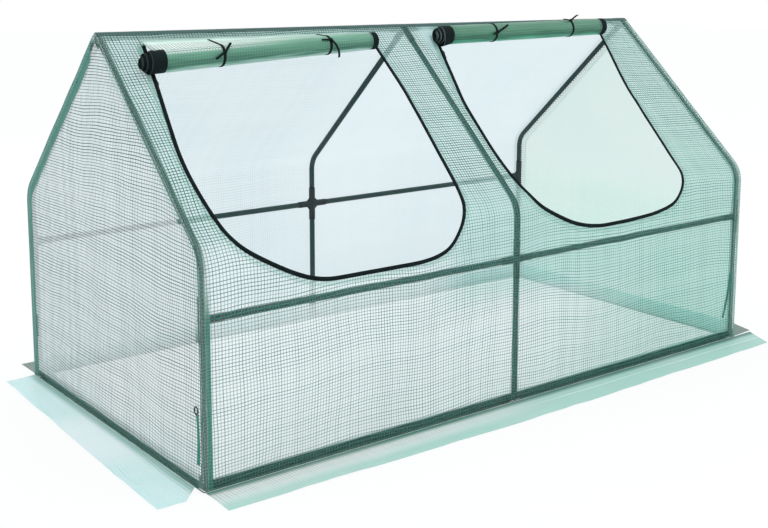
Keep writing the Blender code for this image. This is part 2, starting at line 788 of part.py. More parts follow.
def rehung(mesh, pivot):
    """A copy of a mesh measured from a pivot instead of the origin."""
    copy = mesh.copy()
    copy.transform(Matrix.Translation(-pivot))
    return copy


def build_doors():
    """The two rolled doors, each hung from an empty on the seam that it swings about."""
    seam = slope_point(0, ROLL_SEAM, SEAM_LIFT)
    for door in DOORS:
        hinge = bpy.data.objects.new(f"door_{door.side}_seam", None)
        bpy.context.scene.collection.objects.link(hinge)
        hinge.location = seam
        place(f"door_roll_{door.side}", rehung(door_film(door), seam), ROLL_FINISH, parent=hinge)
        place(f"door_zip_{door.side}", rehung(door_tape(door), seam), TAPE_FINISH, parent=hinge)
        for tie in TIES:
            if tie.door == door.side:
                place(tie.name, rehung(tie_mesh(tie, door), seam), TAPE_FINISH, parent=hinge)
        report_winding(door)


def report_winding(door):
    """Print the film wound on a roll and the least gap between its turns."""
    for end, radius in (("left", door.roll_left_radius), ("right", door.roll_right_radius)):
        pitch = (radius - ROLL_CORE) / ROLL_TURNS
        length = math.pi * (radius + ROLL_CORE) * ROLL_TURNS
        print(f"door_roll_{door.side} {end} end: {length:.3f} m wound, least gap {pitch - TAPE:.4f} m")


# Zip sliders

def slider_mesh():
    """A zip slider round the tape's free edge, its way up the tape as +Y, its lift as +Z."""
    half = SLIDER_LENGTH / 2
    reach = TAPE_WIDTH / 2 + FIT
    under = -FIT - SLIDER_PLATE
    over = TAPE + FIT

    def shield(width, low, thickness):
        corners = ((-1, 0), (-0.8, 1), (0.8, 1), (1, 0), (0.5, -1), (-0.5, -1))
        outline = [Vector((x * width, y * half, low)) for x, y in corners]
        return prism("shield", outline, Vector((0, 0, thickness)))

    def block(x_range, y_range, z_range):
        (x0, x1), (y0, y1), (z0, z1) = x_range, y_range, z_range
        outline = [Vector((x0, y0, z0)), Vector((x1, y0, z0)), Vector((x1, y1, z0)), Vector((x0, y1, z0))]
        return prism("block", outline, Vector((0, 0, z1 - z0)))

    top = shield(reach + SLIDER_PLATE, over, SLIDER_PLATE * 1.5)
    bottom = block((reach - TAPE_WIDTH * 0.45, reach + SLIDER_PLATE), (-half * 0.6, half * 0.6),
                   (under, under + SLIDER_PLATE))
    side = block((reach, reach + SLIDER_PLATE), (-half * 0.55, half * 0.55),
                 (under + SLIDER_PLATE / 2, over + SLIDER_PLATE / 2))
    crown = over + SLIDER_PLATE * 1.5
    bridge = block((-SLIDER_PLATE, SLIDER_PLATE), (-half * 0.5, half * 0.6),
                   (crown - SLIDER_PLATE / 2, crown + 2 * SLIDER_PLATE))
    tab = block((-TAPE_WIDTH * 0.3, TAPE_WIDTH * 0.3), (-SLIDER_TAB, half * 0.2),
                (crown + SLIDER_PLATE / 2, crown + SLIDER_PLATE * 1.5))
    return combine_all([top, bottom, side, bridge, tab])


def slider_start(door):
    """Distance down the slope at which a slider is parked, just clear of the roll."""
    return door.roll_left_drop + door.roll_left_radius + SLIDER_LENGTH + FILM_LIFT * SLOPE_ANGLE


def build_sliders():
    """A slider on the left side of each zip, lined up with the first straight of the tape."""
    mesh = slider_mesh()
    for door in DOORS:
        edge = door_edge(door, 0)
        (top_x, top), (low_x, low) = edge[0], edge[1]
        distance = slider_start(door)
        x = top_x + (low_x - top_x) * (distance - top) / (low - top)
        lean = Matrix.Rotation(-math.atan2(top_x - low_x, low - top), 3, "Z")
        up_slope = Matrix((X_AXIS, -DOWN_SLOPE, OUT_OF_SLOPE)).transposed()
        position = slope_point(x, distance - FILM_LIFT * SLOPE_ANGLE, COVER_LIFT + FIT)
        place(f"zip_slider_{door.side}", mesh, SLIDER_FINISH, position, up_slope @ lean)


def main():
    clear_scene()
    build_tubes()
    build_connectors()
    build_cover()
    build_ground_flaps()
    build_doors()
    build_sliders()


main()
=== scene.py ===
"""Mini greenhouse: film cover, zips, rolled doors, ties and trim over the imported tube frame.

Metres, +Z up. The ridge runs along X, the doors face -Y and the ground is z = 0. Cloth is
drawn flat, x across and distance down from the ridge, and then laid over the hoops.
"""

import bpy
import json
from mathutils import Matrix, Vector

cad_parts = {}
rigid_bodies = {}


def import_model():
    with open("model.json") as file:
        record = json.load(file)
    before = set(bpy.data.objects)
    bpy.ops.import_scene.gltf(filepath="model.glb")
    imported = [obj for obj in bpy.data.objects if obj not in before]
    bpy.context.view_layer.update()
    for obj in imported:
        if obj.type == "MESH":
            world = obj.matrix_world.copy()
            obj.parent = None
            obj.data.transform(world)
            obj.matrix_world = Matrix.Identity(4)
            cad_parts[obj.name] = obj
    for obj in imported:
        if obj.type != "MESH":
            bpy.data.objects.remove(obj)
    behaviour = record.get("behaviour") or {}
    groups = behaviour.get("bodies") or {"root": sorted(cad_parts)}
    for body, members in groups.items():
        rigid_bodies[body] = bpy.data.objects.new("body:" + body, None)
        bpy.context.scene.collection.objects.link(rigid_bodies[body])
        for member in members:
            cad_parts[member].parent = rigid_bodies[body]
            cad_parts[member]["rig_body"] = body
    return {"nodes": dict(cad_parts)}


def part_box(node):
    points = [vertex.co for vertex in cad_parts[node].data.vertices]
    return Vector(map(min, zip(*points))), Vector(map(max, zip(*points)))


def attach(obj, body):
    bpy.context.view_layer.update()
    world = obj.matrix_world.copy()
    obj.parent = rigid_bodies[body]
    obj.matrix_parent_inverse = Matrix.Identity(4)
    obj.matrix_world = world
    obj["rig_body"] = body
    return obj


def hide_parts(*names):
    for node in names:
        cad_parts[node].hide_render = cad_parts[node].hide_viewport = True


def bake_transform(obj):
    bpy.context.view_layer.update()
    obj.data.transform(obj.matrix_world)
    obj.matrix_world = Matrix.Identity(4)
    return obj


bl_info = {
    "name": "Mini greenhouse",
    "version": (1, 0, 0),
    "blender": (4, 5, 0),
    "location": "3D View > Sidebar > Greenhouse",
    "description": "Film cover, zips, rolled doors, ties and trim for the mini greenhouse frame",
    "category": "Object",
}

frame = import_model()

import json
import math
from typing import NamedTuple

import bmesh
import bpy
import numpy as np
from bpy.props import FloatProperty, FloatVectorProperty, PointerProperty
from mathutils import Matrix, Vector, noise
from mathutils.geometry import delaunay_2d_cdt


class Door(NamedTuple):
    """One zipped door: its U-shaped cut in the front sheet and the roll it makes.

    Along the ridge its places are measured from the hoop at the left of its bay.
    """

    side: str
    cut: tuple
    roll_left: float
    roll_right: float
    roll_left_radius: float
    roll_right_radius: float
    roll_left_drop: float
    roll_right_drop: float
    telescope: float
    left_coil_width: float
    right_coil_width: float
    hem: float


class Tie(NamedTuple):
    """One tie: how far along its roll, the angle of its knot and its two tails."""

    side: str
    name: str
    offset: float
    knot_angle: float
    tails: tuple


# From the ridge down to the top of both doors
DOOR_TOP = 0.050

DOORS = (
    Door("left",
         ((0.0920, DOOR_TOP), (0.0515, 0.375), (0.0500, 0.430), (0.0540, 0.489), (0.0605, 0.540),
          (0.0670, 0.580), (0.0755, 0.609), (0.0880, 0.629), (0.1040, 0.643), (0.1290, 0.660),
          (0.1700, 0.683), (0.2160, 0.707), (0.2620, 0.726), (0.3120, 0.737),
          (0.5720, 0.737), (0.6170, 0.732), (0.6540, 0.721), (0.6760, 0.704), (0.6980, 0.670),
          (0.7130, 0.638), (0.7270, 0.600), (0.7320, 0.560), (0.7370, 0.490),
          (0.7505, 0.240), (0.7460, DOOR_TOP)),
         roll_left=0.099, roll_right=0.709, roll_left_radius=0.0275, roll_right_radius=0.0225,
         roll_left_drop=0.122, roll_right_drop=0.079, telescope=0.018,
         left_coil_width=0.038, right_coil_width=0.018, hem=0.012),
    Door("right",
         ((0.0790, DOOR_TOP), (0.0280, 0.300), (0.0225, 0.460), (0.0260, 0.523), (0.0320, 0.562),
          (0.0430, 0.603), (0.0570, 0.630), (0.0750, 0.649), (0.1020, 0.665), (0.1450, 0.686),
          (0.1900, 0.706), (0.2400, 0.720), (0.3000, 0.7285),
          (0.4300, 0.726), (0.5100, 0.721), (0.5600, 0.713), (0.5920, 0.705), (0.6130, 0.691),
          (0.6300, 0.667), (0.6430, 0.636), (0.6500, 0.600), (0.6540, 0.545), (0.6610, 0.430),
          (0.6760, 0.290), (0.7370, DOOR_TOP)),
         roll_left=0.095, roll_right=0.698, roll_left_radius=0.0260, roll_right_radius=0.0250,
         roll_left_drop=0.071, roll_right_drop=0.057, telescope=0.014,
         left_coil_width=0.036, right_coil_width=0.022, hem=0.014),
)
TIES = (
    Tie("left", "far_left", 0.153, math.radians(65), ((0.022, 0.70, 0.004), (-0.028, -0.50, 0.002))),
    Tie("left", "left", 0.4705, math.radians(78), ((0.026, -1.60, 0.010), (-0.030, 0.05, 0.002))),
    Tie("right", "right", 0.160, math.radians(50), ((0.042, 0.60, 0.004), (-0.020, -0.20, 0.002))),
    Tie("right", "far_right", 0.475, math.radians(105), ((0.034, 0.25, 0.012), (-0.032, 0.10, 0.003))),
)

# Sizes shared with the solids of the frame
FILM = 0.0008        # thickness of the film
FIT = 0.0003         # clearance between neighbours
ZIP_LAP = 0.002      # from a door's cut line to the front sheet
ZIP_WIDTH = 0.008
ZIP_TAPE = 0.0012    # thickness of the zip's tape
ROLL_SEAM = 0.022    # from the ridge down to the doors' seam
ROLL_TURNS = 6
ROLL_CORE = 0.0075   # innermost radius of the rolled film
COIL_PIN = 0.0032    # innermost radius of the zip's coils
HEM_TUCK = 0.001     # how far a door's hem reaches under its zip

# Cloth coordinates where a sheet's x and y are 0, and the same for a strip's width and length
SHEET_X, SHEET_Y = 1.0, 0.5
STRIP_X, STRIP_Y = 0.5, 0.04


def centre_of(node):
    """Middle of a frame node's box."""
    low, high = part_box(node)
    return (low + high) / 2


def colour(red, green, blue):
    """A screen colour as the linear values that the shaders take."""
    linear = []
    for value in (red, green, blue):
        share = value / 255
        linear.append(share / 12.92 if share < 0.04045 else ((share + 0.055) / 1.055) ** 2.4)
    return (*linear, 1.0)


def length_setting(name, description, default):
    """A length that the sidebar shows."""
    return FloatProperty(name=name, description=description, unit="LENGTH", default=default, precision=4)


def colour_setting(name, description, *screen):
    """A colour that the sidebar shows."""
    return FloatVectorProperty(
        name=name, description=description, subtype="COLOR", size=4, min=0, max=1, default=colour(*screen))


class GreenhouseSizes(bpy.types.PropertyGroup):
    """Lines of the tube frame that the cloth follows."""

    hoop_spacing: length_setting("Hoop spacing", "From one hoop to the next", centre_of("front_post_right").x)
    depth: length_setting("Depth", "Between the front and back posts", 2 * centre_of("back_post_left").y)
    rail_height: length_setting("Rail height", "Height of the mid rails", centre_of("front_mid_rail_left").z)
    eave_height: length_setting("Eave height", "Where wall and slope would meet", 0.507)
    ridge_height: length_setting("Ridge height", "Height of the ridge rail", centre_of("ridge_rail_left").z)
    bend_radius: length_setting("Eave bend", "Radius of the bend in each rafter", 0.070)
    film_lift: length_setting("Film lift", "From the tubes' centre lines to the film", 0.0110)


class GreenhouseFilm(bpy.types.PropertyGroup):
    """Weave and colours of the reinforced film."""

    pitch: length_setting("Thread pitch", "From one thread to the next", 0.0077)
    thread: length_setting("Thread width", "Width of one thread", 0.0019)
    clear_colour: colour_setting("Film", "Haze of the clear film between the threads", 248, 255, 254)
    thread_colour: colour_setting(
        "Threads", "Threads laid in the film, where light falls through them", 128, 160, 157)
    deep_colour: colour_setting("Shaded threads", "Threads on the slopes and where they cross", 30, 92, 82)
    # Painted shade: the threads' colour over the tubes, which keep the light behind from falling through them
    tube_shade_thread_colour: colour_setting(
        "Threads on tubes", "Threads where the film is pressed on a tube", 78, 150, 132)
    hem_colour: colour_setting("Hems", "Doubled film round the doors", 190, 230, 220)
    flap_colour: colour_setting("Front flap", "Film of the front flap on the ground", 178, 226, 214)


class GreenhouseTrim(bpy.types.PropertyGroup):
    """Colours of the tubes, fittings and tapes."""

    tube_colour: colour_setting("Tubes", "Powder coat on the tubes", 34, 62, 62)
    fitting_colour: colour_setting("Connectors", "Moulded connectors", 28, 44, 47)
    tape_colour: colour_setting("Zip tape", "Zip tape and ties", 16, 27, 28)
    slider_colour: colour_setting("Zip slider", "Enamel of the sliders", 36, 40, 42)


# Lines of the cloth

class Profile:
    """The line that the film takes over a hoop: ridge, slope, eave bend and wall."""

    def __init__(self, sizes):
        self.ridge = Vector((0, 0, sizes.ridge_height))
        self.hoop = sizes.hoop_spacing
        self.half_depth = sizes.depth / 2
        rise = sizes.ridge_height - sizes.eave_height
        self.slope = math.atan2(rise, self.half_depth)
        self.turn = math.pi / 2 - self.slope
        tangent = sizes.bend_radius * math.tan(self.turn / 2)
        self.bend = sizes.bend_radius
        self.bend_centre = Vector((0, self.bend - self.half_depth, sizes.eave_height - tangent))
        self.lift = sizes.film_lift
        self.slope_start = self.lift * self.slope
        self.bend_start = self.slope_start + math.hypot(self.half_depth, rise) - tangent
        self.wall_start = self.bend_start + (self.bend + self.lift) * self.turn
        self.length = self.wall_start + self.bend_centre.z
        self.rail = self.length - sizes.rail_height
        self.down = Vector((0, -math.cos(self.slope), -math.sin(self.slope)))
        self.out = Vector((0, -math.sin(self.slope), math.cos(self.slope)))

    def normal(self, angle):
        """Outwards, at an angle from straight up."""
        return Vector((0, -math.sin(angle), math.cos(angle)))

    def point(self, x, distance, lift=0.0):
        """A point of the front sheet by its distance down from the ridge and its lift."""
        if distance < self.slope_start:
            base, normal = self.ridge, self.normal(distance / self.lift)
        elif distance < self.bend_start:
            base, normal = self.ridge + self.down * (distance - self.slope_start), self.out
        elif distance < self.wall_start:
            turned = (distance - self.bend_start) / (self.bend + self.lift)
            normal = self.normal(self.slope + turned)
            base = self.bend_centre + self.bend * normal
        else:
            normal = Vector((0, -1, 0))
            base = Vector((0, -self.half_depth, self.bend_centre.z - distance + self.wall_start))
        return base + normal * (self.lift + lift) + Vector((x, 0, 0))

    def on_slope(self, x, drop, lift):
        """A point by its drop down the front slope and its lift off the tubes' centre plane."""
        return self.ridge + self.down * drop + self.out * lift + Vector((x, 0, 0))


def ease(value):
    """0 below 0, 1 above 1, and smooth between."""
    value = min(max(value, 0.0), 1.0)
    return value * value * (3 - 2 * value)


def ripple(x, y, seed, scale):
    """Smooth unevenness between -1 and 1."""
    return noise.noise(Vector((x * scale, y * scale, seed)))


def shares(steps):
    """Even shares from 0 to 1."""
    return [step / steps for step in range(steps + 1)]


# Where in the noise each wall's creases lie
SEEDS = {"front": 1.0, "right": 4.0, "back": 9.0, "left": 2.0}

# The film is held at the hoops, ridge, ground, rails and end walls' rims, and comes loose over these lengths
HOOP_HOLD, RIDGE_HOLD, GROUND_HOLD, RAIL_HOLD, RIM_HOLD = 0.11, 0.07, 0.05, 0.06, 0.16

# Heights of its broad and fine waves, and its sag below the eave: depth, place past the bend's start, reach
BROAD_WAVE, FINE_WAVE = 0.0030, 0.0011
END_BROAD_WAVE, END_FINE_WAVE = 0.0032, 0.0012
SAG_DEPTH, SAG_PLACE, SAG_REACH = 0.0025, 0.03, 0.12


def slack(profile, x, distance, wall="front"):
    """How far the film stands off its straight line: tight on the tubes, looser between."""
    from_hoop = min(abs(x - hoop) for hoop in (-profile.hoop, 0, profile.hoop))
    hold = ease(from_hoop / HOOP_HOLD) * ease(distance / RIDGE_HOLD)
    hold *= ease((profile.length - distance) / GROUND_HOLD)
    rail = 0.25 + 0.75 * ease(abs(distance - profile.rail) / RAIL_HOLD)
    seed = SEEDS[wall]
    waves = BROAD_WAVE * ripple(x, distance, seed, 4.5) + FINE_WAVE * ripple(x, distance, seed + 5, 15)
    sag = SAG_DEPTH * math.exp(-((distance - profile.bend_start - SAG_PLACE) / SAG_REACH) ** 2)
    return hold * rail * waves - hold * sag


def bay_start(profile, door):
    """x of the hoop at the left of a door's bay."""
    return -profile.hoop if door.side == "left" else 0.0


def door_edge(profile, door, grow, spacing=0.012, smoothing=6):
    """The cut of a door in the flat, from its top left round to its top right, grown outwards."""
    corners = np.array(door.cut) + (bay_start(profile, door), 0)
    points = []
    for here, there in zip(corners, corners[1:]):
        count = max(1, math.ceil(np.hypot(*(there - here)) / spacing))
        points.extend(here + (there - here) * step / count for step in range(count))
    points = np.array(points + [corners[-1]])
    for _ in range(smoothing):
        points[1:-1] = (points[:-2] + 2 * points[1:-1] + points[2:]) / 4
    along = points[2:] - points[:-2]
    outwards = np.stack((-along[:, 1], along[:, 0]), 1) / np.hypot(*along.T)[:, None]
    outwards = np.concatenate(([(-1.0, 0.0)], outwards, [(1.0, 0.0)]))
    return [tuple(point) for point in points + outwards * grow]


WALLS = {"front": 0, "right": 90, "back": 180, "left": 270}


def stand_off(profile, wall, along, height):
    """How far a wall's film stands off its straight line."""
    if wall in ("front", "back"):
        return slack(profile, along, profile.length - height, wall)
    y, seed = along if wall == "right" else -along, SEEDS[wall]
    edge = min(profile.half_depth - abs(y), RIM_HOLD) / RIM_HOLD
    hold = ease(edge) * ease(height / GROUND_HOLD) * ease((profile.ridge.z - height) / 0.1)
    broad, fine = ripple(y, height, seed, 4), ripple(y, height * 0.5, seed + 3, 14)
    return hold * (END_BROAD_WAVE * broad + END_FINE_WAVE * fine)


def on_wall(profile, wall, along, out, height):
    """A point by its place along a wall, its distance out from the tubes and its height."""
    away = profile.half_depth if wall in ("front", "back") else profile.hoop
    turn = Matrix.Rotation(math.radians(WALLS[wall]), 3, "Z")
    return turn @ Vector((along, -away - out, height))


def wall_half(profile, wall):
    """Half the length of a wall, between the centre lines of its posts."""
    return profile.hoop if wall in ("front", "back") else profile.half_depth


# Materials

class Nodes:
    """A tree of shader nodes being built, with short calls for the nodes it needs."""

    def __init__(self, tree):
        self.tree = tree
        self.tree.nodes.clear()

    def add(self, kind, *links, **settings):
        """A node with settings, and each (input, value or socket) of links put in."""
        node = self.tree.nodes.new("ShaderNode" + kind)
        for key, value in settings.items():
            setattr(node, key, value)
        for place, value in links:
            if isinstance(value, bpy.types.NodeSocket):
                self.tree.links.new(value, node.inputs[place])
            else:
                node.inputs[place].default_value = value
        return node

    def math(self, operation, first, second=0.0, third=0.0):
        return self.add("Math", (0, first), (1, second), (2, third), operation=operation).outputs[0]

    def times(self, first, second):
        """The product of two values. For masks, it is 1 where both are 1."""
        return self.math("MULTIPLY", first, second)

    def away(self, value, centre):
        """How far a value is from a centre, either way."""
        return self.math("ABSOLUTE", self.math("SUBTRACT", value, centre))

    def between(self, value, low, high, start=0.0, end=1.0):
        """A smooth step of a value from start at low to end at high."""
        return self.add("MapRange", (0, value), (1, low), (2, high), (3, start), (4, end),
                        interpolation_type="SMOOTHSTEP").outputs[0]

    def blend(self, share, first, second):
        """A value between two, by a share."""
        return self.math("MULTIPLY_ADD", self.math("SUBTRACT", second, first), share, first)

    def mix(self, share, first, second):
        """A blend of two colours."""
        return self.add("Mix", (0, share), (6, first), (7, second), data_type="RGBA").outputs[2]

    def shader(self, kind, *links):
        return self.add(kind, *links).outputs[0]

    def mixed(self, share, first, second):
        """A blend of two shaders."""
        return self.shader("MixShader", (0, share), (1, first), (2, second))

    def vector(self, operation, first, second):
        return self.add("VectorMath", (0, first), (1, second), operation=operation).outputs[0]

    def scaled(self, vector, size):
        return self.add("VectorMath", (0, vector), (3, size), operation="SCALE").outputs[0]

    def split(self, vector):
        return self.add("SeparateXYZ", (0, vector)).outputs

    def noise(self, vector, scale, detail=2.0):
        return self.add("TexNoise", ("Vector", vector), ("Scale", scale), ("Detail", detail)).outputs[0]

    def cloth(self):
        """The piece's own flat cloth coordinates, in metres."""
        uv = self.add("UVMap", uv_map="cloth").outputs[0]
        return self.vector("MULTIPLY", uv, (2, 2, 2))

    def place(self):
        return self.add("TexCoord").outputs["Object"]

    def bump(self, height, strength, distance):
        return self.add("Bump", ("Height", height), ("Strength", strength), ("Distance", distance)).outputs[0]


class Finish(Nodes):
    """A material being built."""

    def __init__(self, name):
        self.material = bpy.data.materials.new(name)
        self.material.use_nodes = True
        super().__init__(self.material.node_tree)

    def output(self, shader):
        """The material, with a shader as its surface."""
        self.add("OutputMaterial", (0, shader))
        return self.material


def toned(shade, share, more=0.0):
    """A colour that is lighter or darker by a share."""
    return (*(min(share * value + more, 1) for value in shade[:3]), 1)


def thread_lines(finish, coordinate, film):
    """1 on the threads that cross a coordinate, 0 between them."""
    near = finish.math("PINGPONG", coordinate, film.pitch / 2)
    return finish.between(near, film.thread * 0.65, film.thread * 0.35)


def thread_tone(finish, coordinate, film, seed):
    """How dense each thread is: no two are quite alike."""
    count = finish.math("ADD", finish.math("ROUND", finish.math("DIVIDE", coordinate, film.pitch)), seed)
    tone = finish.add("TexWhiteNoise", ("W", count), noise_dimensions="1D").outputs[0]
    return finish.math("MULTIPLY_ADD", tone, 0.45, 0.68)


def tube_shade_bands(finish, bands):
    """1 within each band (value, centre, half width) of a sheet, with soft edges: where a tube's painted
    shade goes.
    """
    found = 0.0
    for value, centre, half in bands:
        found = finish.math("MAXIMUM", found, finish.between(
            finish.away(value, centre), half + BAND_EDGE, half - BAND_EDGE))
    return found


class Weave(NamedTuple):
    """How a stretch of film looks: its haze and tint, and the cover and colour of its threads."""

    haze: float
    tint: tuple
    cover: float
    thread: tuple


def where(*steps, most=1.0):
    """A mask for film_finish, 1 or most where every step is past.

    A step is "x" or "y", the values where it begins and ends and, if it is about a line, the line's
    place, and the values are then distances from it.
    """
    def mask(finish, x, y):
        share = None
        for axis, low, high, *line in steps:
            value = x if axis == "x" else y
            step = finish.between(finish.away(value, *line) if line else value, low, high)
            share = step if share is None else finish.times(share, step)
        return share if most == 1 else finish.times(share, most)

    return mask


# How far the threads drift, as the scale and size of two noises
THREAD_DRIFTS = (2.6, 0.050), (8.0, 0.008)

# Painted shade of the tubes on the film: the share of its haze that is left over a tube, its threads' cover
# there, and the soft edge of the band
TUBE_SHADE_HAZE, TUBE_SHADE_COVER, BAND_EDGE = 0.05, 0.9, 0.003

# The film between its threads, how far its haze drifts, how dark the threads are where they cross
# and how much of a thread's light falls through it
CLEAR_FILM = (0.985, 0.995, 0.995, 1)
HAZE_DRIFT, KNOT_DARKNESS, THREAD_GLOW = 0.06, 0.7, 0.4

# Sheen of the film: its roughness, and its share from ahead and at the rim
SHEEN_ROUGHNESS, SHEEN_AHEAD, SHEEN_RIM = 0.22, 0.012, 0.16


def film_finish(name, film, plain, layers=(), tubes=None, solid=0.6):
    """Clear film with a grid of green threads.

    Each layer is a mask(finish, x, y) and the Weave that the film has where the mask is 1.
    Tubes(finish, x, y) is 1 over the tubes behind the film, where painted shade stands for the light
    that they keep off the haze: the haze is cut and the threads take their own colour. Solid is the
    share of the haze that is lit from the front, high on doubled film.
    """
    finish = Finish(name)
    flat = finish.cloth()
    x, y, _ = finish.split(flat)
    pulled = flat
    for scale, size in THREAD_DRIFTS:
        drift = finish.add("TexNoise", ("Vector", flat), ("Scale", scale), ("Detail", 1.0)).outputs[1]
        drift = finish.vector("SUBTRACT", drift, (0.5, 0.5, 0.5))
        pulled = finish.vector("ADD", pulled, finish.scaled(drift, size))
    u, v, _ = finish.split(pulled)
    across, down = (
        finish.times(thread_lines(finish, line, film), thread_tone(finish, line, film, seed))
        for line, seed in ((u, 0.0), (v, 400.0)))
    threads = finish.math("MAXIMUM", across, down)
    knots = finish.times(across, down)
    haze, tint, cover, shade = plain
    for mask, weave in layers:
        share = mask(finish, x, y)
        haze = finish.blend(share, haze, weave.haze)
        cover = finish.blend(share, cover, weave.cover)
        tint = finish.mix(share, tint, weave.tint)
        shade = finish.mix(share, shade, weave.thread)
    uneven = finish.between(finish.noise(flat, 3.0), 0.3, 0.7, -HAZE_DRIFT, HAZE_DRIFT)
    haze = finish.math("ADD", haze, uneven)
    # Painted shade of the tubes behind the film: less haze and threads of their own colour over them
    if tubes is not None:
        pressed = tubes(finish, x, y)
        haze = finish.times(haze, finish.blend(pressed, 1.0, TUBE_SHADE_HAZE))
        cover = finish.blend(pressed, cover, TUBE_SHADE_COVER)
        shade = finish.mix(pressed, shade, tuple(film.tube_shade_thread_colour))
    cover = finish.times(threads, cover)
    dark = finish.mix(0.5, shade, tuple(film.deep_colour))
    shade = finish.mix(finish.times(knots, KNOT_DARKNESS), shade, dark)
    relief = finish.bump(threads, 0.35, 0.0004)
    clear = finish.shader("BsdfTransparent", ("Color", CLEAR_FILM))
    behind = finish.shader("BsdfTranslucent", ("Color", tint))
    front = finish.shader("BsdfDiffuse", ("Color", tint), ("Normal", relief))
    cells = finish.mixed(haze, clear, finish.mixed(solid, behind, front))
    lit = finish.shader("BsdfDiffuse", ("Color", shade), ("Normal", relief))
    through = finish.shader("BsdfTranslucent", ("Color", shade))
    surface = finish.mixed(cover, cells, finish.mixed(THREAD_GLOW, lit, through))
    sheen = finish.shader("BsdfGlossy", ("Roughness", SHEEN_ROUGHNESS))
    facing = finish.add("LayerWeight", ("Blend", 0.5)).outputs["Facing"]
    facing = finish.math("MULTIPLY_ADD", finish.math("POWER", facing, 4.0), SHEEN_RIM, SHEEN_AHEAD)
    return finish.output(finish.mixed(facing, surface, sheen))


# The angle round a roll, in degrees, where its bands of painted light and shade begin, how far they go and
# how far they stray
BANDS_START, BANDS_SPAN, BANDS_STRAY = -60.0, 230.0, 16.0


def roll_finish(name, film, profile, door, bands, mesh):
    """Film rolled many layers deep, with bands of green round the roll that paint its light and shade.

    Each band is an angle about the roll's axis, from straight down the slope over the outside,
    and a screen colour. Mesh is how clearly the grid of the outer layer shows on top, its cells painted
    near-white as if lit from behind.
    """
    finish = Finish(name)
    u, v, _ = finish.split(finish.cloth())
    threads = finish.math("MAXIMUM", thread_lines(finish, u, film), thread_lines(finish, v, film))
    left, right = roll_ends(profile, door)
    _, left_drop, left_lift, _ = roll_section(profile, door, left)
    _, right_drop, right_lift, _ = roll_section(profile, door, right)
    place = finish.place()
    reach = []
    for way, start, end in ((profile.down, left_drop, right_drop), (profile.out, left_lift, right_lift)):
        lean = (end - start) / (right - left)
        along = way - Vector((lean, 0, 0))
        dot = finish.add("VectorMath", (0, place), (1, along), operation="DOT_PRODUCT").outputs["Value"]
        reach.append(finish.math("SUBTRACT", dot, profile.ridge.dot(way) + start - lean * left))
    angle = finish.times(finish.math("ARCTAN2", reach[1], reach[0]), 180 / math.pi)
    x, _, _ = finish.split(place)

    def streaked(along, around):
        """A noise that is drawn out along the roll or round it."""
        stretched = finish.add("CombineXYZ", (0, finish.times(x, along)),
                               (1, finish.times(angle, around))).outputs[0]
        return finish.noise(stretched, 1.0, 3.0)

    sway = finish.between(streaked(6.0, 0.045), 0.25, 0.75, -BANDS_STRAY, BANDS_STRAY)
    past_start = finish.math("ADD", finish.math("ADD", angle, sway), -BANDS_START)
    ramp = finish.add("ValToRGB", (0, finish.math("DIVIDE", past_start, BANDS_SPAN)))
    stops = ramp.color_ramp.elements
    while len(stops) < len(bands):
        stops.new(1.0)
    for stop, (degrees, *shade) in zip(stops, bands):
        stop.position = (degrees - BANDS_START) / BANDS_SPAN
        stop.color = colour(*shade)
    streaks = finish.between(streaked(9.0, 0.55), 0.3, 0.7, 0.80, 1.22)
    body = finish.scaled(ramp.outputs[0], streaks)
    body = finish.mix(finish.times(threads, 0.16), body, colour(170, 214, 198))
    # Painted light: on the roll's top the outer layer's grid has near-white cells, as if lit from behind
    top = finish.between(angle, 70.0, 94.0)
    fade = finish.between(x, left + 0.70 * (right - left), left + 0.10 * (right - left))
    grid = finish.mix(threads, colour(238, 250, 246), colour(104, 158, 140))
    body = finish.mix(finish.times(finish.times(top, fade), mesh), body, grid)
    relief = finish.bump(finish.math("ADD", threads, streaks), 0.3, 0.0005)
    front = finish.shader(
        "BsdfPrincipled", ("Base Color", body), ("Roughness", 0.34), ("Normal", relief),
        ("Coat Weight", 0.15), ("Coat Roughness", 0.15))
    behind = finish.shader("BsdfTranslucent", ("Color", body))
    return finish.output(finish.mixed(0.28, front, behind))


def tape_finish(name, shade, rib=0.0011, rim=0.0):
    """Black woven tape with fine ribs across it, and a painted highlight along its edges, as a paler rim
    where it shows.
    """
    finish = Finish(name)
    x, y, _ = finish.split(finish.cloth())
    ribs = (finish.between(finish.math("PINGPONG", line, rib / 2), 0.0, rib / 2) for line in (x, y))
    weave = finish.times(*ribs)
    wear = finish.noise(finish.place(), 40.0, 3.0)
    body = finish.mix(finish.between(wear, 0.35, 0.75), tuple(shade), toned(shade, 1.5))
    body = finish.mix(finish.times(weave, 0.5), body, toned(shade, 0.4))
    # Painted highlight: a pale line along the tape's edges
    if rim:
        edge = finish.between(finish.away(x, STRIP_X), 0.0016, 0.0006)
        body = finish.mix(finish.times(edge, rim), body, colour(150, 172, 168))
    relief = finish.bump(weave, 0.5, 0.0003)
    return finish.output(finish.shader(
        "BsdfPrincipled", ("Base Color", body), ("Roughness", 0.72), ("Normal", relief),
        ("Specular IOR Level", 0.08)))


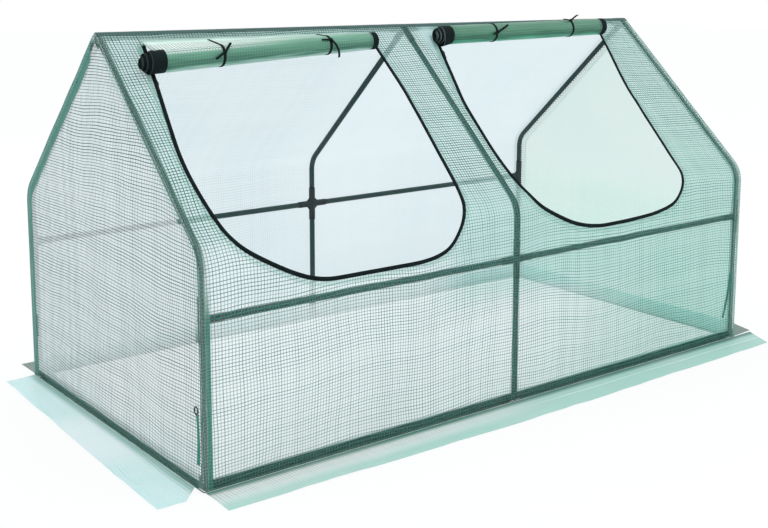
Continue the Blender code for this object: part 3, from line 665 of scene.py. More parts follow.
def coat_finish(name, shade, roughness, grain, metallic=0.0):
    """Powder coat or moulded plastic: an even colour with fine grain and faint rub marks."""
    finish = Finish(name)
    place = finish.place()
    speckle = finish.noise(place, grain, 3.0)
    rub = finish.between(finish.noise(place, 9.0, 4.0), 0.45, 0.8)
    body = finish.mix(finish.times(rub, 0.35), tuple(shade), toned(shade, 1.6, 0.01))
    body = finish.mix(finish.between(speckle, 0.62, 0.8, 0.0, 0.3), body, toned(shade, 0.5))
    polish = finish.between(speckle, 0.3, 0.7, roughness - 0.06, roughness + 0.08)
    relief = finish.bump(speckle, 0.25, 0.0002)
    return finish.output(finish.shader(
        "BsdfPrincipled", ("Base Color", body), ("Roughness", polish), ("Normal", relief),
        ("Metallic", metallic)))


# Cloth meshes

def inside(points, loops):
    """For each flat point, whether it lies within the first closed loop and in none of the others."""
    x, y = points[:, 0], points[:, 1]
    found = []
    for loop in loops:
        within = np.zeros(len(points), bool)
        for (x0, y0), (x1, y1) in zip(loop, loop[1:] + loop[:1]):
            if y0 != y1:
                within ^= ((y0 > y) != (y1 > y)) & (x < (x1 - x0) * (y - y0) / (y1 - y0) + x0)
        found.append(within)
    return found[0] & ~np.any(found[1:], axis=0) if found[1:] else found[0]


def divided(loop, spacing):
    """A closed loop with points no further apart than the spacing."""
    points = []
    for (x0, y0), (x1, y1) in zip(loop, loop[1:] + loop[:1]):
        count = max(1, math.ceil(math.hypot(x1 - x0, y1 - y0) / spacing))
        points.extend((x0 + (x1 - x0) * i / count, y0 + (y1 - y0) * i / count) for i in range(count))
    return points


def outward(point):
    """Away from the middle of the greenhouse, or up near the ground outside it."""
    return Vector((point.x, 3 * point.y, 1 if point.z < 0.03 else point.z - 0.4))


def cut_sheet(name, outline, holes, spacing, lay):
    """A sheet cut to an outline with holes, and laid in space by lay(x, y)."""
    loops = [divided(loop, spacing) for loop in (outline, *holes)]
    edges = []
    rim = []
    for loop in loops:
        start = len(rim)
        edges.extend((start + i, start + (i + 1) % len(loop)) for i in range(len(loop)))
        rim.extend(loop)
    rim = np.array(rim)
    low, high = rim.min(0), rim.max(0)
    counts = np.ceil((high - low) / spacing).astype(int)
    grid = np.stack(np.meshgrid(*(np.linspace(low[i], high[i], counts[i] + 1)[1:-1] for i in (0, 1))), -1)
    grid = grid.reshape(-1, 2)
    keep = inside(grid, loops)
    for point in rim:
        keep &= ((grid - point) ** 2).sum(1) > (0.45 * spacing) ** 2
    flat = [Vector(point) for point in np.concatenate((rim, grid[keep]))]
    merge_distance = 1e-7
    points, _, faces, *_ = delaunay_2d_cdt(flat, edges, [], 1, merge_distance)
    centres = np.array([sum((points[i] for i in face), Vector((0, 0))) / len(face) for face in faces])
    bm = bmesh.new()
    layer = bm.loops.layers.uv.new("cloth")
    corners = [bm.verts.new(lay(*point)) for point in points]
    for face, on_sheet in zip(faces, inside(centres, loops)):
        if on_sheet:
            made = bm.faces.new([corners[i] for i in face])
            for corner, index in zip(made.loops, face):
                corner[layer].uv = (points[index].x / 2 + SHEET_X / 2, points[index].y / 2 + SHEET_Y / 2)
    bmesh.ops.delete(bm, geom=[v for v in bm.verts if not v.link_faces], context="VERTS")
    bm.normal_update()
    if sum(face.normal.dot(outward(face.calc_center_median())) for face in bm.faces) < 0:
        bmesh.ops.reverse_faces(bm, faces=bm.faces[:])
    return shown_piece(name, bm)


def shown_piece(name, bm):
    """A bmesh as a smooth-shaded object in the scene."""
    mesh = bpy.data.meshes.new(name)
    bm.to_mesh(mesh)
    bm.free()
    mesh.shade_smooth()
    piece = bpy.data.objects.new(name, mesh)
    bpy.context.scene.collection.objects.link(piece)
    return piece


def running_length(points):
    """Length along a row of points, at each of them."""
    lengths = [0.0]
    for here, there in zip(points, points[1:]):
        lengths.append(lengths[-1] + (there - here).length)
    return lengths


def skin(name, rings, lengths=None, widths=None, closed=True):
    """A skin over a row of like rings, with cloth coordinates from its lengths and widths.

    Lengths run along the first points of the rings and widths round the first ring, if none are given.
    """
    first = list(rings[0])
    lengths = lengths or running_length([ring[0] for ring in rings])
    widths = widths or running_length(first + first[:1] if closed else first)
    bm = bmesh.new()
    layer = bm.loops.layers.uv.new("cloth")
    rows = [[bm.verts.new(point) for point in ring] for ring in rings]
    count = len(first)
    for i in range(len(rows) - 1):
        for j in range(count if closed else count - 1):
            k = (j + 1) % count
            face = bm.faces.new((rows[i][j], rows[i][k], rows[i + 1][k], rows[i + 1][j]))
            flat = ((j, i), (j + 1, i), (j + 1, i + 1), (j, i + 1))
            for corner, (across, along) in zip(face.loops, flat):
                corner[layer].uv = (widths[across] / 2 + STRIP_X / 2, lengths[along] / 2 + STRIP_Y / 2)
    if closed:
        bm.faces.new(rows[0][::-1])
        bm.faces.new(rows[-1])
    bmesh.ops.recalc_face_normals(bm, faces=bm.faces[:])
    return shown_piece(name, bm)


def joined(name, parts):
    """Several objects joined into one piece."""
    bpy.ops.object.select_all(action="DESELECT")
    for part in parts:
        part.select_set(True)
    bpy.context.view_layer.objects.active = parts[0]
    bpy.ops.object.join()
    parts[0].name = name
    return parts[0]


def dress(piece, material, body, slot, *nodes):
    """Give a piece its material, any body that it rides on and the nodes that it replaces. Its slot is not
    used.
    """
    piece.data.materials.clear()
    piece.data.materials.append(material)
    if body:
        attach(piece, body)
    if nodes:
        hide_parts(*nodes)
    return piece


# How far each kind of strip lies off the sheet below it
STRIP_LIFTS = {"door": 0.0004, "edge": 0.0005, "gable": 0.0006, "ridge": 0.0007}


def film_strip(name, rings, finish, middle=0):
    """An open strip of film on the cover, measured along the middle point of its rings."""
    lengths = running_length([ring[middle] for ring in rings])
    widths = running_length(rings[0])
    strip = dress(skin(name, rings, lengths, widths, closed=False), finish, "frame_and_cover", "cover_film")


def profile_of(context):
    return Profile(context.scene.greenhouse_sizes)


# Camera: its place, its yaw, pitch and roll, its lens, and its shift across and up
CAMERA_PLACE = (-2.021, -2.555, 1.070)
CAMERA_TURN = (37.79, 8.80, 0.16)
CAMERA_LENS = 55.15
CAMERA_SHIFT = (-0.0107, -0.1355)

# Lamps, all aimed at one point: place and power
LAMPS = {
    "key_lamp": ((-2.6, -3.4, 3.2), 34),
    "fill_lamp": ((3.4, -2.2, 2.4), 12),
    "back_lamp": ((0.6, 3.6, 2.6), 26),
}
LAMP_WIDTH = 3.0
LAMP_AIM = (0, 0, 0.4)

FLOOR_SIZE = 40
FLOOR_DROP = 0.0004
WHITE = (1, 1, 1, 1)


# Operators

class GREENHOUSE_OT_stage(bpy.types.Operator):
    """Pale floor, white surroundings, soft lamps and the camera"""

    bl_idname = "greenhouse.stage"
    bl_label = "Stage"

    def execute(self, context):
        self.floor()
        self.surroundings(context)
        for name, (place, power) in LAMPS.items():
            self.lamp(context, name, place, power)
        self.camera(context)
        return {"FINISHED"}

    def floor(self):
        """Paper that takes soft shadows and looks almost white."""
        bpy.ops.mesh.primitive_plane_add(size=FLOOR_SIZE, location=(0, 0, -FLOOR_DROP))
        floor = bpy.context.object
        floor.name = "floor"
        finish = Finish("floor_paper")
        grain = finish.noise(finish.place(), 30.0)
        paper = finish.mix(grain, (0.92, 0.92, 0.92, 1), (0.95, 0.95, 0.95, 1))
        soft = finish.shader("BsdfDiffuse", ("Color", paper))
        white = finish.shader("Emission", ("Color", WHITE), ("Strength", 1.0))
        rays = finish.add("LightPath").outputs
        seen = finish.math("ADD", rays["Is Camera Ray"], rays["Is Glossy Ray"])
        seen = finish.math("ADD", seen, rays["Is Transmission Ray"])
        seen = finish.times(finish.math("MINIMUM", seen, 1.0), 0.80)
        floor.data.materials.append(finish.output(finish.mixed(seen, soft, white)))

    def surroundings(self, context):
        """A faintly blue room that lights the part and is seen as plain white."""
        world = bpy.data.worlds.new("white_room")
        context.scene.world = world
        world.use_nodes = True
        nodes = Nodes(world.node_tree)
        rays = nodes.add("LightPath").outputs
        room = nodes.shader("Background", (0, (0.96, 0.98, 1.0, 1)), (1, 1.04))
        white = nodes.shader("Background", (0, WHITE), (1, 1.0))
        seen = nodes.math("MAXIMUM", rays["Is Camera Ray"], rays["Is Transmission Ray"])
        seen = nodes.math("MAXIMUM", seen, rays["Is Glossy Ray"])
        nodes.add("OutputWorld", (0, nodes.mixed(seen, room, white)))

    def lamp(self, context, name, place, power):
        data = bpy.data.lights.new(name, "AREA")
        data.shape = "DISK"
        data.size = LAMP_WIDTH
        data.energy = power
        lamp = bpy.data.objects.new(name, data)
        context.scene.collection.objects.link(lamp)
        lamp.location = place
        lamp.rotation_euler = (Vector(LAMP_AIM) - Vector(place)).to_track_quat("-Z", "Y").to_euler()

    def camera(self, context):
        data = bpy.data.cameras.new("camera")
        data.sensor_width = 36
        data.lens = CAMERA_LENS
        data.shift_x, data.shift_y = CAMERA_SHIFT
        camera = bpy.data.objects.new("camera", data)
        context.scene.collection.objects.link(camera)
        camera.location = CAMERA_PLACE
        yaw, pitch, roll = (math.radians(angle) for angle in CAMERA_TURN)
        ahead = Vector((math.sin(yaw) * math.cos(pitch), math.cos(yaw) * math.cos(pitch), -math.sin(pitch)))
        turn = ahead.to_track_quat("-Z", "Y") @ Matrix.Rotation(roll, 3, "Z").to_quaternion()
        camera.rotation_euler = turn.to_euler()
        context.scene.camera = camera
        context.scene.view_settings.view_transform = "Standard"


# Finishes of the tubes and connectors: colour, roughness, grain, metal, and words in the names of their nodes
FRAME_FINISHES = {
    "tube_paint": ("tube_colour", 0.38, 700.0, 0.15, ("rail", "post", "rafter")),
    "connector_plastic": ("fitting_colour", 0.50, 420.0, 0.0, ("tee", "cross", "foot", "ridge_joint")),
}


class GREENHOUSE_OT_frame(bpy.types.Operator):
    """Powder coat on the tubes and grained plastic on the connectors"""

    bl_idname = "greenhouse.frame"
    bl_label = "Tubes and connectors"

    def execute(self, context):
        trim = context.scene.greenhouse_trim
        finishes = {slot: coat_finish(slot, getattr(trim, shade), *surface)
                    for slot, (shade, *surface, _) in FRAME_FINISHES.items()}
        for name, node in frame["nodes"].items():
            for slot, (*_, words) in FRAME_FINISHES.items():
                if any(word in name for word in words):
                    dress(merged_copy(node, f"{name}_smooth"), finishes[slot], node["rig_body"], slot, name)
                    break
        return {"FINISHED"}


def merged_copy(node, name):
    """A copy of a frame node with its triangles joined and its round faces shaded smooth."""
    bm = bmesh.new()
    bm.from_mesh(node.data)
    bmesh.ops.remove_doubles(bm, verts=bm.verts[:], dist=0.000005)
    piece = shown_piece(name, bm)
    piece.data.set_sharp_from_angle(angle=math.radians(40))
    return piece


class GREENHOUSE_OT_cover(bpy.types.Operator):
    """The four film sheets of the cover, drawn flat, cut and laid over the hoops"""

    bl_idname = "greenhouse.cover"
    bl_label = "Film cover"

    def execute(self, context):
        profile = profile_of(context)
        film = context.scene.greenhouse_film
        half = profile.hoop + profile.lift - FIT
        outline = [(-half, FIT), (-half, profile.length - FIT), (half, profile.length - FIT), (half, FIT)]
        holes = [door_edge(profile, door, ZIP_LAP) for door in DOORS]

        def front(x, distance):
            return profile.point(x, distance, slack(profile, x, distance))

        def back(x, distance):
            point = profile.point(x, distance, slack(profile, x, distance, "back"))
            return Vector((-point.x, -point.y, point.z))

        piece = cut_sheet("film_front", outline, holes, 0.013, front)
        dress(piece, self.front_finish(profile, film), "frame_and_cover", "cover_film", "cover_front")
        piece = cut_sheet("film_back", outline, [], 0.016, back)
        dress(piece, self.back_finish(film), "frame_and_cover", "cover_film", "cover_back")
        self.ends(profile, film)
        return {"FINISHED"}

    def front_finish(self, profile, film):
        """The front sheet's film. Its x is 1 at the middle hoop and its y is 0.5 at the ridge."""
        clear, thread, deep = map(tuple, (film.clear_colour, film.thread_colour, film.deep_colour))

        on_slope = where(("y", profile.bend_start + 0.56, profile.bend_start + 0.47))
        right_of_wall = where(("x", 0.95, 1.60), ("y", 0.72, 1.12))
        under_left_door = where(("y", 1.02, 1.14), ("y", 1.40, 1.32), ("x", 0.68, 0.86))

        def on_tubes(finish, x, y):
            """1 over the hoops and rails, each seen a little beside the film that lies on it: the tubes'
            painted shade.
            """
            bands = [(x, SHEET_X - 0.010 + hoop, 0.0105) for hoop in (-profile.hoop, 0.0, profile.hoop)]
            bands += [(y, 0.497 + profile.rail, 0.0095), (y, 0.487 + profile.length, 0.0115),
                      (y, SHEET_Y, 0.010)]
            return tube_shade_bands(finish, bands)

        def gathered(finish, x, y):
            """1 where the film is gathered at the left end of the right roll."""
            wide = finish.times(finish.math("SUBTRACT", x, 1.062), 1.7)
            high = finish.math("SUBTRACT", y, 0.560)
            away = finish.math("SQRT", finish.math("MULTIPLY_ADD", wide, wide, finish.times(high, high)))
            return finish.between(away, 0.085, 0.020)

        return film_finish(
            "film_front", film, Weave(0.70, clear, 0.95, thread),
            ((on_slope, Weave(0.55, colour(216, 250, 243), 1.0, deep)),
             (under_left_door, Weave(0.60, colour(206, 242, 236), 0.90, colour(96, 148, 138))),
             (right_of_wall, Weave(0.50, colour(208, 248, 238), 1.0, colour(76, 142, 128))),
             (gathered, Weave(0.80, colour(208, 238, 236), 0.35, colour(96, 176, 166)))),
            on_tubes, 0.8)

    def back_finish(self, film):
        """The back sheet's film, whose grid shows more towards the photographed right."""
        tint = colour(218, 235, 241)
        return film_finish(
            "film_back", film, Weave(0.70, tint, 0.20, colour(160, 186, 194)),
            ((where(("x", 0.90, 1.25)), Weave(0.70, tint, 0.38, colour(146, 174, 184))),), None, 0.1)

    def ends(self, profile, film, steps=90):
        """The two gable sheets."""

        def on_hoop(finish, x, y):
            """1 over an end hoop and its base rail: the tubes' painted shade."""
            aside = finish.away(x, SHEET_X)
            height = finish.math("SUBTRACT", y, SHEET_Y)
            reach = finish.times(aside, math.sin(profile.slope))
            reach = finish.math("MULTIPLY_ADD", height, math.cos(profile.slope), reach)
            return tube_shade_bands(finish, (
                (aside, profile.half_depth, 0.0090),
                (reach, profile.ridge.z * math.cos(profile.slope), 0.0090),
                (height, 0.009, 0.0110)))

        above_rail = where(("y", 0.84, 0.96))
        finishes = {
            "left": film_finish(
                "film_end_left", film, Weave(0.72, tuple(film.clear_colour), 0.90, colour(60, 96, 94)),
                (), on_hoop, 0.8),
            "right": film_finish(
                "film_end_right", film, Weave(0.60, colour(200, 244, 232), 0.25, colour(110, 168, 154)),
                ((above_rail, Weave(0.70, colour(214, 238, 233), 0.12, colour(160, 204, 194))),),
                on_hoop, 0.1),
        }
        rim = [profile.point(0, FIT + (profile.length - 2 * FIT) * step / steps) for step in range(steps + 1)]
        gable = [(point.y, point.z) for point in rim] + [(-point.y, point.z) for point in reversed(rim)]
        for side, way in (("left", -1), ("right", 1)):
            def end(y, z, side=side, way=way):
                return on_wall(profile, side, way * y, profile.lift + stand_off(profile, side, way * y, z), z)

            piece = cut_sheet(f"film_end_{side}", gable, [], 0.014, end)
            dress(piece, finishes[side], "frame_and_cover", "cover_film", f"cover_end_{side}")


# Section of a zip's tape with its teeth, in half widths across and thicknesses up
ZIP_SECTION = ((-1, 0.0), (1.5, 0.0), (1.5, 0.6), (0.35, 0.7), (0.30, 1.15), (0.0, 1.35),
               (-0.30, 1.15), (-0.35, 0.7), (-1, 0.6))


class GREENHOUSE_OT_zips(bpy.types.Operator):
    """The zip sewn round each door opening, with a hem of doubled film outside it"""

    bl_idname = "greenhouse.zips"
    bl_label = "Zips and hems"

    def execute(self, context):
        profile = profile_of(context)
        film = context.scene.greenhouse_film
        tape = tape_finish("zip_tape", context.scene.greenhouse_trim.tape_colour)
        tint = tuple(film.hem_colour)
        doubled = film_finish(
            "film_hem", film, Weave(0.18, tint, 0.20, colour(126, 186, 170)),
            ((where(("y", 0.32, 0.10)), Weave(0.55, tint, 0.45, colour(104, 172, 154))),))

        def on_film(x, distance, lift):
            return profile.point(x, distance, slack(profile, x, distance) + lift)

        for door in DOORS:
            lines = []
            for across, height in ZIP_SECTION:
                edge = door_edge(profile, door, across * ZIP_WIDTH / 2)
                lines.append([on_film(x, distance, FILM + height * ZIP_TAPE) for x, distance in edge])
            piece = skin(f"zip_{door.side}", list(zip(*lines)))
            dress(piece, tape, "frame_and_cover", "zip_tape", f"zip_track_{door.side}")
            edges = (door_edge(profile, door, 0.75 * ZIP_WIDTH + out) for out in (-HEM_TUCK, door.hem))
            rings = []
            for near, far in zip(*edges):
                spots = ([here + (there - here) * share for here, there in zip(near, far)]
                         for share in (0, 0.33, 0.67, 1))
                rings.append([on_film(x, distance, STRIP_LIFTS["door"]) for x, distance in spots])
            film_strip(f"door_hem_{door.side}", rings, doubled)
        return {"FINISHED"}


# Pocket round each base rail: the height where it leaves the wall's film, and its look
POCKETS = {
    "front": (0.027, Weave(0.88, colour(104, 164, 150), 0.5, colour(66, 126, 112))),
    "back": (0.040, Weave(0.55, colour(202, 232, 230), 0.3, colour(146, 196, 190))),
    "left": (0.036, Weave(0.75, colour(206, 220, 194), 0.4, colour(124, 150, 122))),
    "right": (0.045, Weave(0.85, colour(172, 236, 224), 0.3, colour(112, 188, 174))),
}

# The rest of a pocket's section, round the rail: out from the rail's middle, and height
POCKET_SECTION = ((-0.003, 0.0215), (-0.0095, 0.0185), (-0.0121, 0.0095), (-0.0114, 0.002),
                  (-0.0085, 0.0004), (0.0, 0.0003), (0.0105, 0.0003))
POCKET_END = 0.018      # from a post's middle to the end of a pocket
SEAM_RADIUS = 0.0012    # of the cord in the seam at the wall's foot


class GREENHOUSE_OT_hems(bpy.types.Operator):
    """Doubled film along the cover's edges, over the ridge and round the base rails"""

    bl_idname = "greenhouse.hems"
    bl_label = "Hems and pockets"

    width: length_setting("Hem", "Width of the hems along the hoops", 0.0215)

    def execute(self, context):
        profile = profile_of(context)
        film = context.scene.greenhouse_film
        clear = Weave(0.08, colour(226, 246, 240), 0.10, colour(64, 152, 128))
        teal = Weave(0.84, colour(92, 160, 142), 0.60, colour(48, 112, 98))
        green = Weave(0.78, colour(98, 164, 150), 0.45, colour(70, 134, 120))
        past_post = where(("y", profile.rail - 0.06, profile.rail + 0.06), ("x", 0.5085, 0.5115))
        behind = where(("y", profile.length + 0.03, profile.length + 0.07))
        on_post = where(("x", 0.0095, 0.0065, 0.511))
        strong = film_finish("film_edge_strong", film, clear, ((past_post, teal),))
        light = film_finish(
            "film_edge", film, Weave(0.35, colour(190, 228, 216), 0.40, colour(112, 172, 156)),
            ((on_post, clear),))
        rim = film_finish("film_edge_end", film, clear, ((behind, green),))
        for wall in ("front", "back"):
            for end, way in (("left", -1), ("right", 1)):
                self.edge_hem(profile, wall, end, way, strong if (wall, end) == ("front", "left") else light)
        self.gable_hem(profile, "left", rim)
        self.gable_hem(profile, "right", light)
        self.ridge_band(profile, film)
        self.pockets(profile, film)
        return {"FINISHED"}

    def edge_hem(self, profile, wall, end, way, finish, steps=150, ridge=0.004, ground=0.002, inset=0.0012):
        """The hem of the front or back sheet beside an end, short of the ridge, the ground and the edge."""
        rings = []
        for step in range(steps + 1):
            distance = ridge + (profile.length - (ridge + ground)) * step / steps
            ring = []
            for across in shares(4):
                x = way * (profile.hoop + profile.lift - inset - self.width * across)
                at = x if wall == "front" else -x
                point = profile.point(x, distance, slack(profile, at, distance, wall) + STRIP_LIFTS["edge"])
                ring.append(point if wall == "front" else Vector((point.x, -point.y, point.z)))
            rings.append(ring)
        film_strip(f"hem_{wall}_{end}", rings, finish)

    def gable_hem(
            self, profile, end, finish, steps=90, ground=0.003, inset=0.0006, back_width=1.55, peak=0.05):
        """The hem round an end sheet, over its front and back rafter, wider at the back and at the peak."""
        way = 1 if end == "right" else -1
        line = [(1 - share, True) for share in shares(steps)]
        line += [(share, False) for share in shares(steps)[1:]]
        top = profile.slope_start * 0.5
        rings = []
        for share, front in line:
            distance = top + (profile.length - ground - top) * share
            outer = profile.point(0, distance, -inset)
            inner = profile.point(0, distance, -self.width if front else -back_width * self.width)
            if share < peak:
                inner.y = inner.y * ease(share / peak)
                inner.z = profile.ridge.z - self.width / math.cos(profile.slope) + 0.016
            ring = []
            for across in (0.0, 0.33, 0.67, 1.0):
                point = outer.lerp(inner, across)
                y = way * (point.y if front else -point.y)
                out = profile.lift + stand_off(profile, end, y, point.z) + STRIP_LIFTS["gable"]
                ring.append(on_wall(profile, end, y, out, point.z))
            rings.append(ring)
        film_strip(f"hem_end_{end}", rings, finish)

    def ridge_band(self, profile, film, half=0.015, steps=60, inset=0.002, wave_height=0.0006):
        """The band of doubled film sewn over the ridge."""
        dull = Weave(0.90, colour(92, 122, 118), 0.55, colour(58, 88, 84))
        finish = film_finish("film_ridge", film, dull, solid=0.8)
        reach = profile.hoop + profile.lift - inset
        rings = []
        for share in shares(steps):
            x = (2 * share - 1) * reach
            ring = []
            for across in range(-4, 5):
                distance = half * abs(across) / 4
                wave = wave_height * abs(ripple(x, across, 31.0, 12))
                point = profile.point(x, distance, STRIP_LIFTS["ridge"] + wave + slack(profile, x, distance))
                ring.append(Vector((point.x, point.y if across < 0 else -point.y, point.z)))
            rings.append(ring)
        film_strip("ridge_band", rings, finish, middle=4)

    def pockets(self, profile, film):
        """A pocket of film round each base rail, and the seam cord at the wall's foot."""
        cord = coat_finish("seam_cord", colour(50, 98, 88), 0.7, 900.0)
        at_seam = where(("x", 0.541, 0.547))
        stitched = Weave(0.92, colour(52, 96, 86), 0.4, colour(36, 76, 68))
        for wall, (top, weave) in POCKETS.items():
            finish = film_finish(f"film_pocket_{wall}", film, weave, ((at_seam, stitched),))
            half = wall_half(profile, wall)
            spans = ((-half, 0), (0, half)) if wall in ("front", "back") else ((-half, half),)
            for number, (start, end) in enumerate(spans, 1):
                self.pocket(profile, wall, number, start + POCKET_END, end - POCKET_END, top, finish)
            rings = []
            for share in shares(80):
                along = (half + profile.lift) * (2 * share - 1)
                out = profile.lift + 0.0009 + 0.0005 * ripple(along, 0, 40.0, 30)
                rings.append([
                    on_wall(profile, wall, along, out + SEAM_RADIUS * math.cos(turn),
                            2 * SEAM_RADIUS + SEAM_RADIUS * math.sin(turn))
                    for turn in (math.pi * corner / 3 for corner in range(6))])
            dress(skin(f"seam_{wall}", rings), cord, "frame_and_cover", "cover_film")

    def pocket(self, profile, wall, number, start, end, top, finish, spacing=0.018, sway_height=0.0012):
        """Film from the wall over a base rail and down its inner side."""
        section = ((0.0045, max(top - 0.008, 0.0225)), *POCKET_SECTION)
        rings = []
        for share in shares(math.ceil((end - start) / spacing)):
            along = start + (end - start) * share
            off = profile.lift - 0.0012 + min(stand_off(profile, wall, along, top), 0.0)
            sway = sway_height * ripple(along, 0, 50.0, 14)
            ring = [on_wall(profile, wall, along, off, top + sway)]
            ring.extend(on_wall(profile, wall, along, out - abs(sway) * 0.4, height + sway * 0.4)
                        for out, height in section)
            rings.append(ring)
        film_strip(f"pocket_{wall}_{number}", rings, finish)


class GREENHOUSE_OT_straps(bpy.types.Operator):
    """The loose ends of the tape straps that tie the cover to the posts"""

    bl_idname = "greenhouse.straps"
    bl_label = "Straps"

    width: length_setting("Width", "Width of the front right strap", 0.0085)

    def execute(self, context):
        profile = profile_of(context)
        teal = tape_finish("strap_tape", colour(54, 124, 112))
        half = profile.half_depth
        runs = {
            "front_left": ("left", 0.011, ((half - 0.005, 0.168), (half - 0.003, 0.140),
                                           (half - 0.002, 0.100), (half - 0.005, 0.058))),
            "front_right": ("front", self.width, ((0.871, 0.202), (0.866, 0.165),
                                                  (0.855, 0.115), (0.843, 0.070))),
            "back_left": ("left", 0.005, ((0.030 - half, 0.177), (0.026 - half, 0.150),
                                          (0.027 - half, 0.117))),
        }
        for name, (wall, width, path) in runs.items():
            strap = self.strap(profile, f"strap_{name}", wall, path, width)
            dress(strap, teal, "frame_and_cover", "tie_tape")
        loop = self.loop(profile)
        dress(loop, tape_finish("loop_tape", colour(58, 76, 74), 0.0009), "frame_and_cover", "tie_tape")
        return {"FINISHED"}

    def strap(self, profile, name, wall, path, width, steps=30, thickness=0.0009):
        """A flat strap that hangs on a wall's film, through points (place along the wall, height)."""
        marks = np.linspace(0, len(path) - 1, steps + 1)
        alongs, heights = (np.interp(marks, range(len(path)), values) for values in zip(*path))
        rings = []
        for share, along, height in zip(shares(steps), alongs, heights):
            twist = 0.5 * math.sin(share * 5.0)
            outwards = profile.lift + 0.0014 + max(stand_off(profile, wall, along, height), 0.0)
            ring = []
            for across, thick in ((-1, 0), (1, 0), (1, 1), (-1, 1)):
                out = outwards + thick * thickness + (1 + across * twist) * 0.0007
                ring.append(on_wall(profile, wall, along + across * width / 2, out, height))
            rings.append(ring)
        return skin(name, rings)

    def loop(self, profile, steps=28, thickness=0.0009):
        """The end of the front left strap, tied in a small open loop by the post."""
        rings = []
        for share in shares(steps):
            turn = math.pi * (2.3 * share - 0.65)
            centre = Vector((profile.half_depth - 0.0085 + 0.0066 * math.cos(turn),
                             0.177 + 0.0080 * math.sin(turn)))
            out = profile.lift + 0.0030 + 0.0012 * share
            side = Vector((math.cos(turn), math.sin(turn))) * 0.0013
            ring = []
            for across, thick in ((-1, -1), (1, -1), (1, 1), (-1, 1)):
                spot = centre + side * across
                ring.append(on_wall(profile, "left", spot.x, out + thick * thickness, spot.y))
            rings.append(ring)
        return skin("strap_loop", rings)


# Rolled doors

def roll_ends(profile, door):
    """x of the film roll's left and right end."""
    start = bay_start(profile, door)
    return start + door.roll_left, start + door.roll_right


def seam_lift(profile):
    """Height of a door's seam off the tubes' centre plane."""
    return profile.lift + FILM + FIT


def roll_section(profile, door, x):
    """The roll at one x: its radius, its axis in the slope and the angle where it is wound on."""
    left, right = roll_ends(profile, door)
    share = (x - left) / (right - left)
    radius = door.roll_left_radius + (door.roll_right_radius - door.roll_left_radius) * share
    drop = door.roll_left_drop + (door.roll_right_drop - door.roll_left_drop) * share
    lift = profile.lift + FILM / 2 + 2 * FIT + 1.5 * ZIP_TAPE + radius
    to_seam = seam_lift(profile) - lift, ROLL_SEAM - drop
    angle = math.atan2(*to_seam) % (2 * math.pi)
    return radius, drop, lift, angle - math.acos(radius / math.hypot(*to_seam))


def beside_roll(profile, door, x, angle, reach):
    """A point by its angle round the roll's axis and its reach from it."""
    _, drop, lift, _ = roll_section(profile, door, x)
    return profile.on_slope(x, drop + reach * math.cos(angle), lift + reach * math.sin(angle))


def winding_point(profile, door, x, turns, offset):
    """A point on the rolled film after some turns from where it meets the roll."""
    radius, _, _, start = roll_section(profile, door, x)
    if turns <= ROLL_TURNS:
        wound = radius - (radius - ROLL_CORE) * turns / ROLL_TURNS
    else:
        wound = ROLL_CORE - (ROLL_CORE - COIL_PIN + ZIP_TAPE) * (turns - ROLL_TURNS)
    return beside_roll(profile, door, x, start - 2 * math.pi * turns, wound + offset)


def seam_point(profile, door, x, offset):
    """A point at the seam below the ridge that the door hangs from."""
    start = roll_section(profile, door, x)[3]
    return profile.on_slope(
        x, ROLL_SEAM + offset * math.cos(start), seam_lift(profile) + offset * math.sin(start))


def left_edge(profile, door, turned):
    """x of the rolled film's left edge, where the inner turns stand out in two steps."""
    share = min(turned / ROLL_TURNS, 1)
    steps = 0.55 * ease((share - 0.22) / 0.10) + 0.45 * ease((share - 0.60) / 0.10)
    return roll_ends(profile, door)[0] - door.telescope * steps


# Painted light and shade round each roll, as bands of an angle in degrees and a screen colour: pale at the
# underside, darkest low on the front and lighter towards the top; and how clearly its outer grid shows on
# top, drawn as if lit from behind
ROLL_LIGHT_AND_SHADE = {
    "left": (((-36.0, 214, 242, 232), (-8.0, 172, 222, 206), (12.0, 92, 156, 132), (22.0, 58, 120, 98),
              (36.0, 66, 130, 106), (55.0, 86, 150, 124), (72.0, 98, 162, 136), (92.0, 116, 178, 152),
              (112.0, 134, 192, 168), (150.0, 150, 202, 182)), 1.0),
    "right": (((-36.0, 160, 222, 200), (-14.0, 88, 190, 156), (2.0, 46, 158, 122), (14.0, 26, 108, 80),
               (26.0, 40, 114, 86), (42.0, 62, 132, 102), (62.0, 76, 142, 112), (85.0, 84, 148, 120),
               (112.0, 94, 156, 128), (150.0, 112, 172, 146)), 0.0),
}


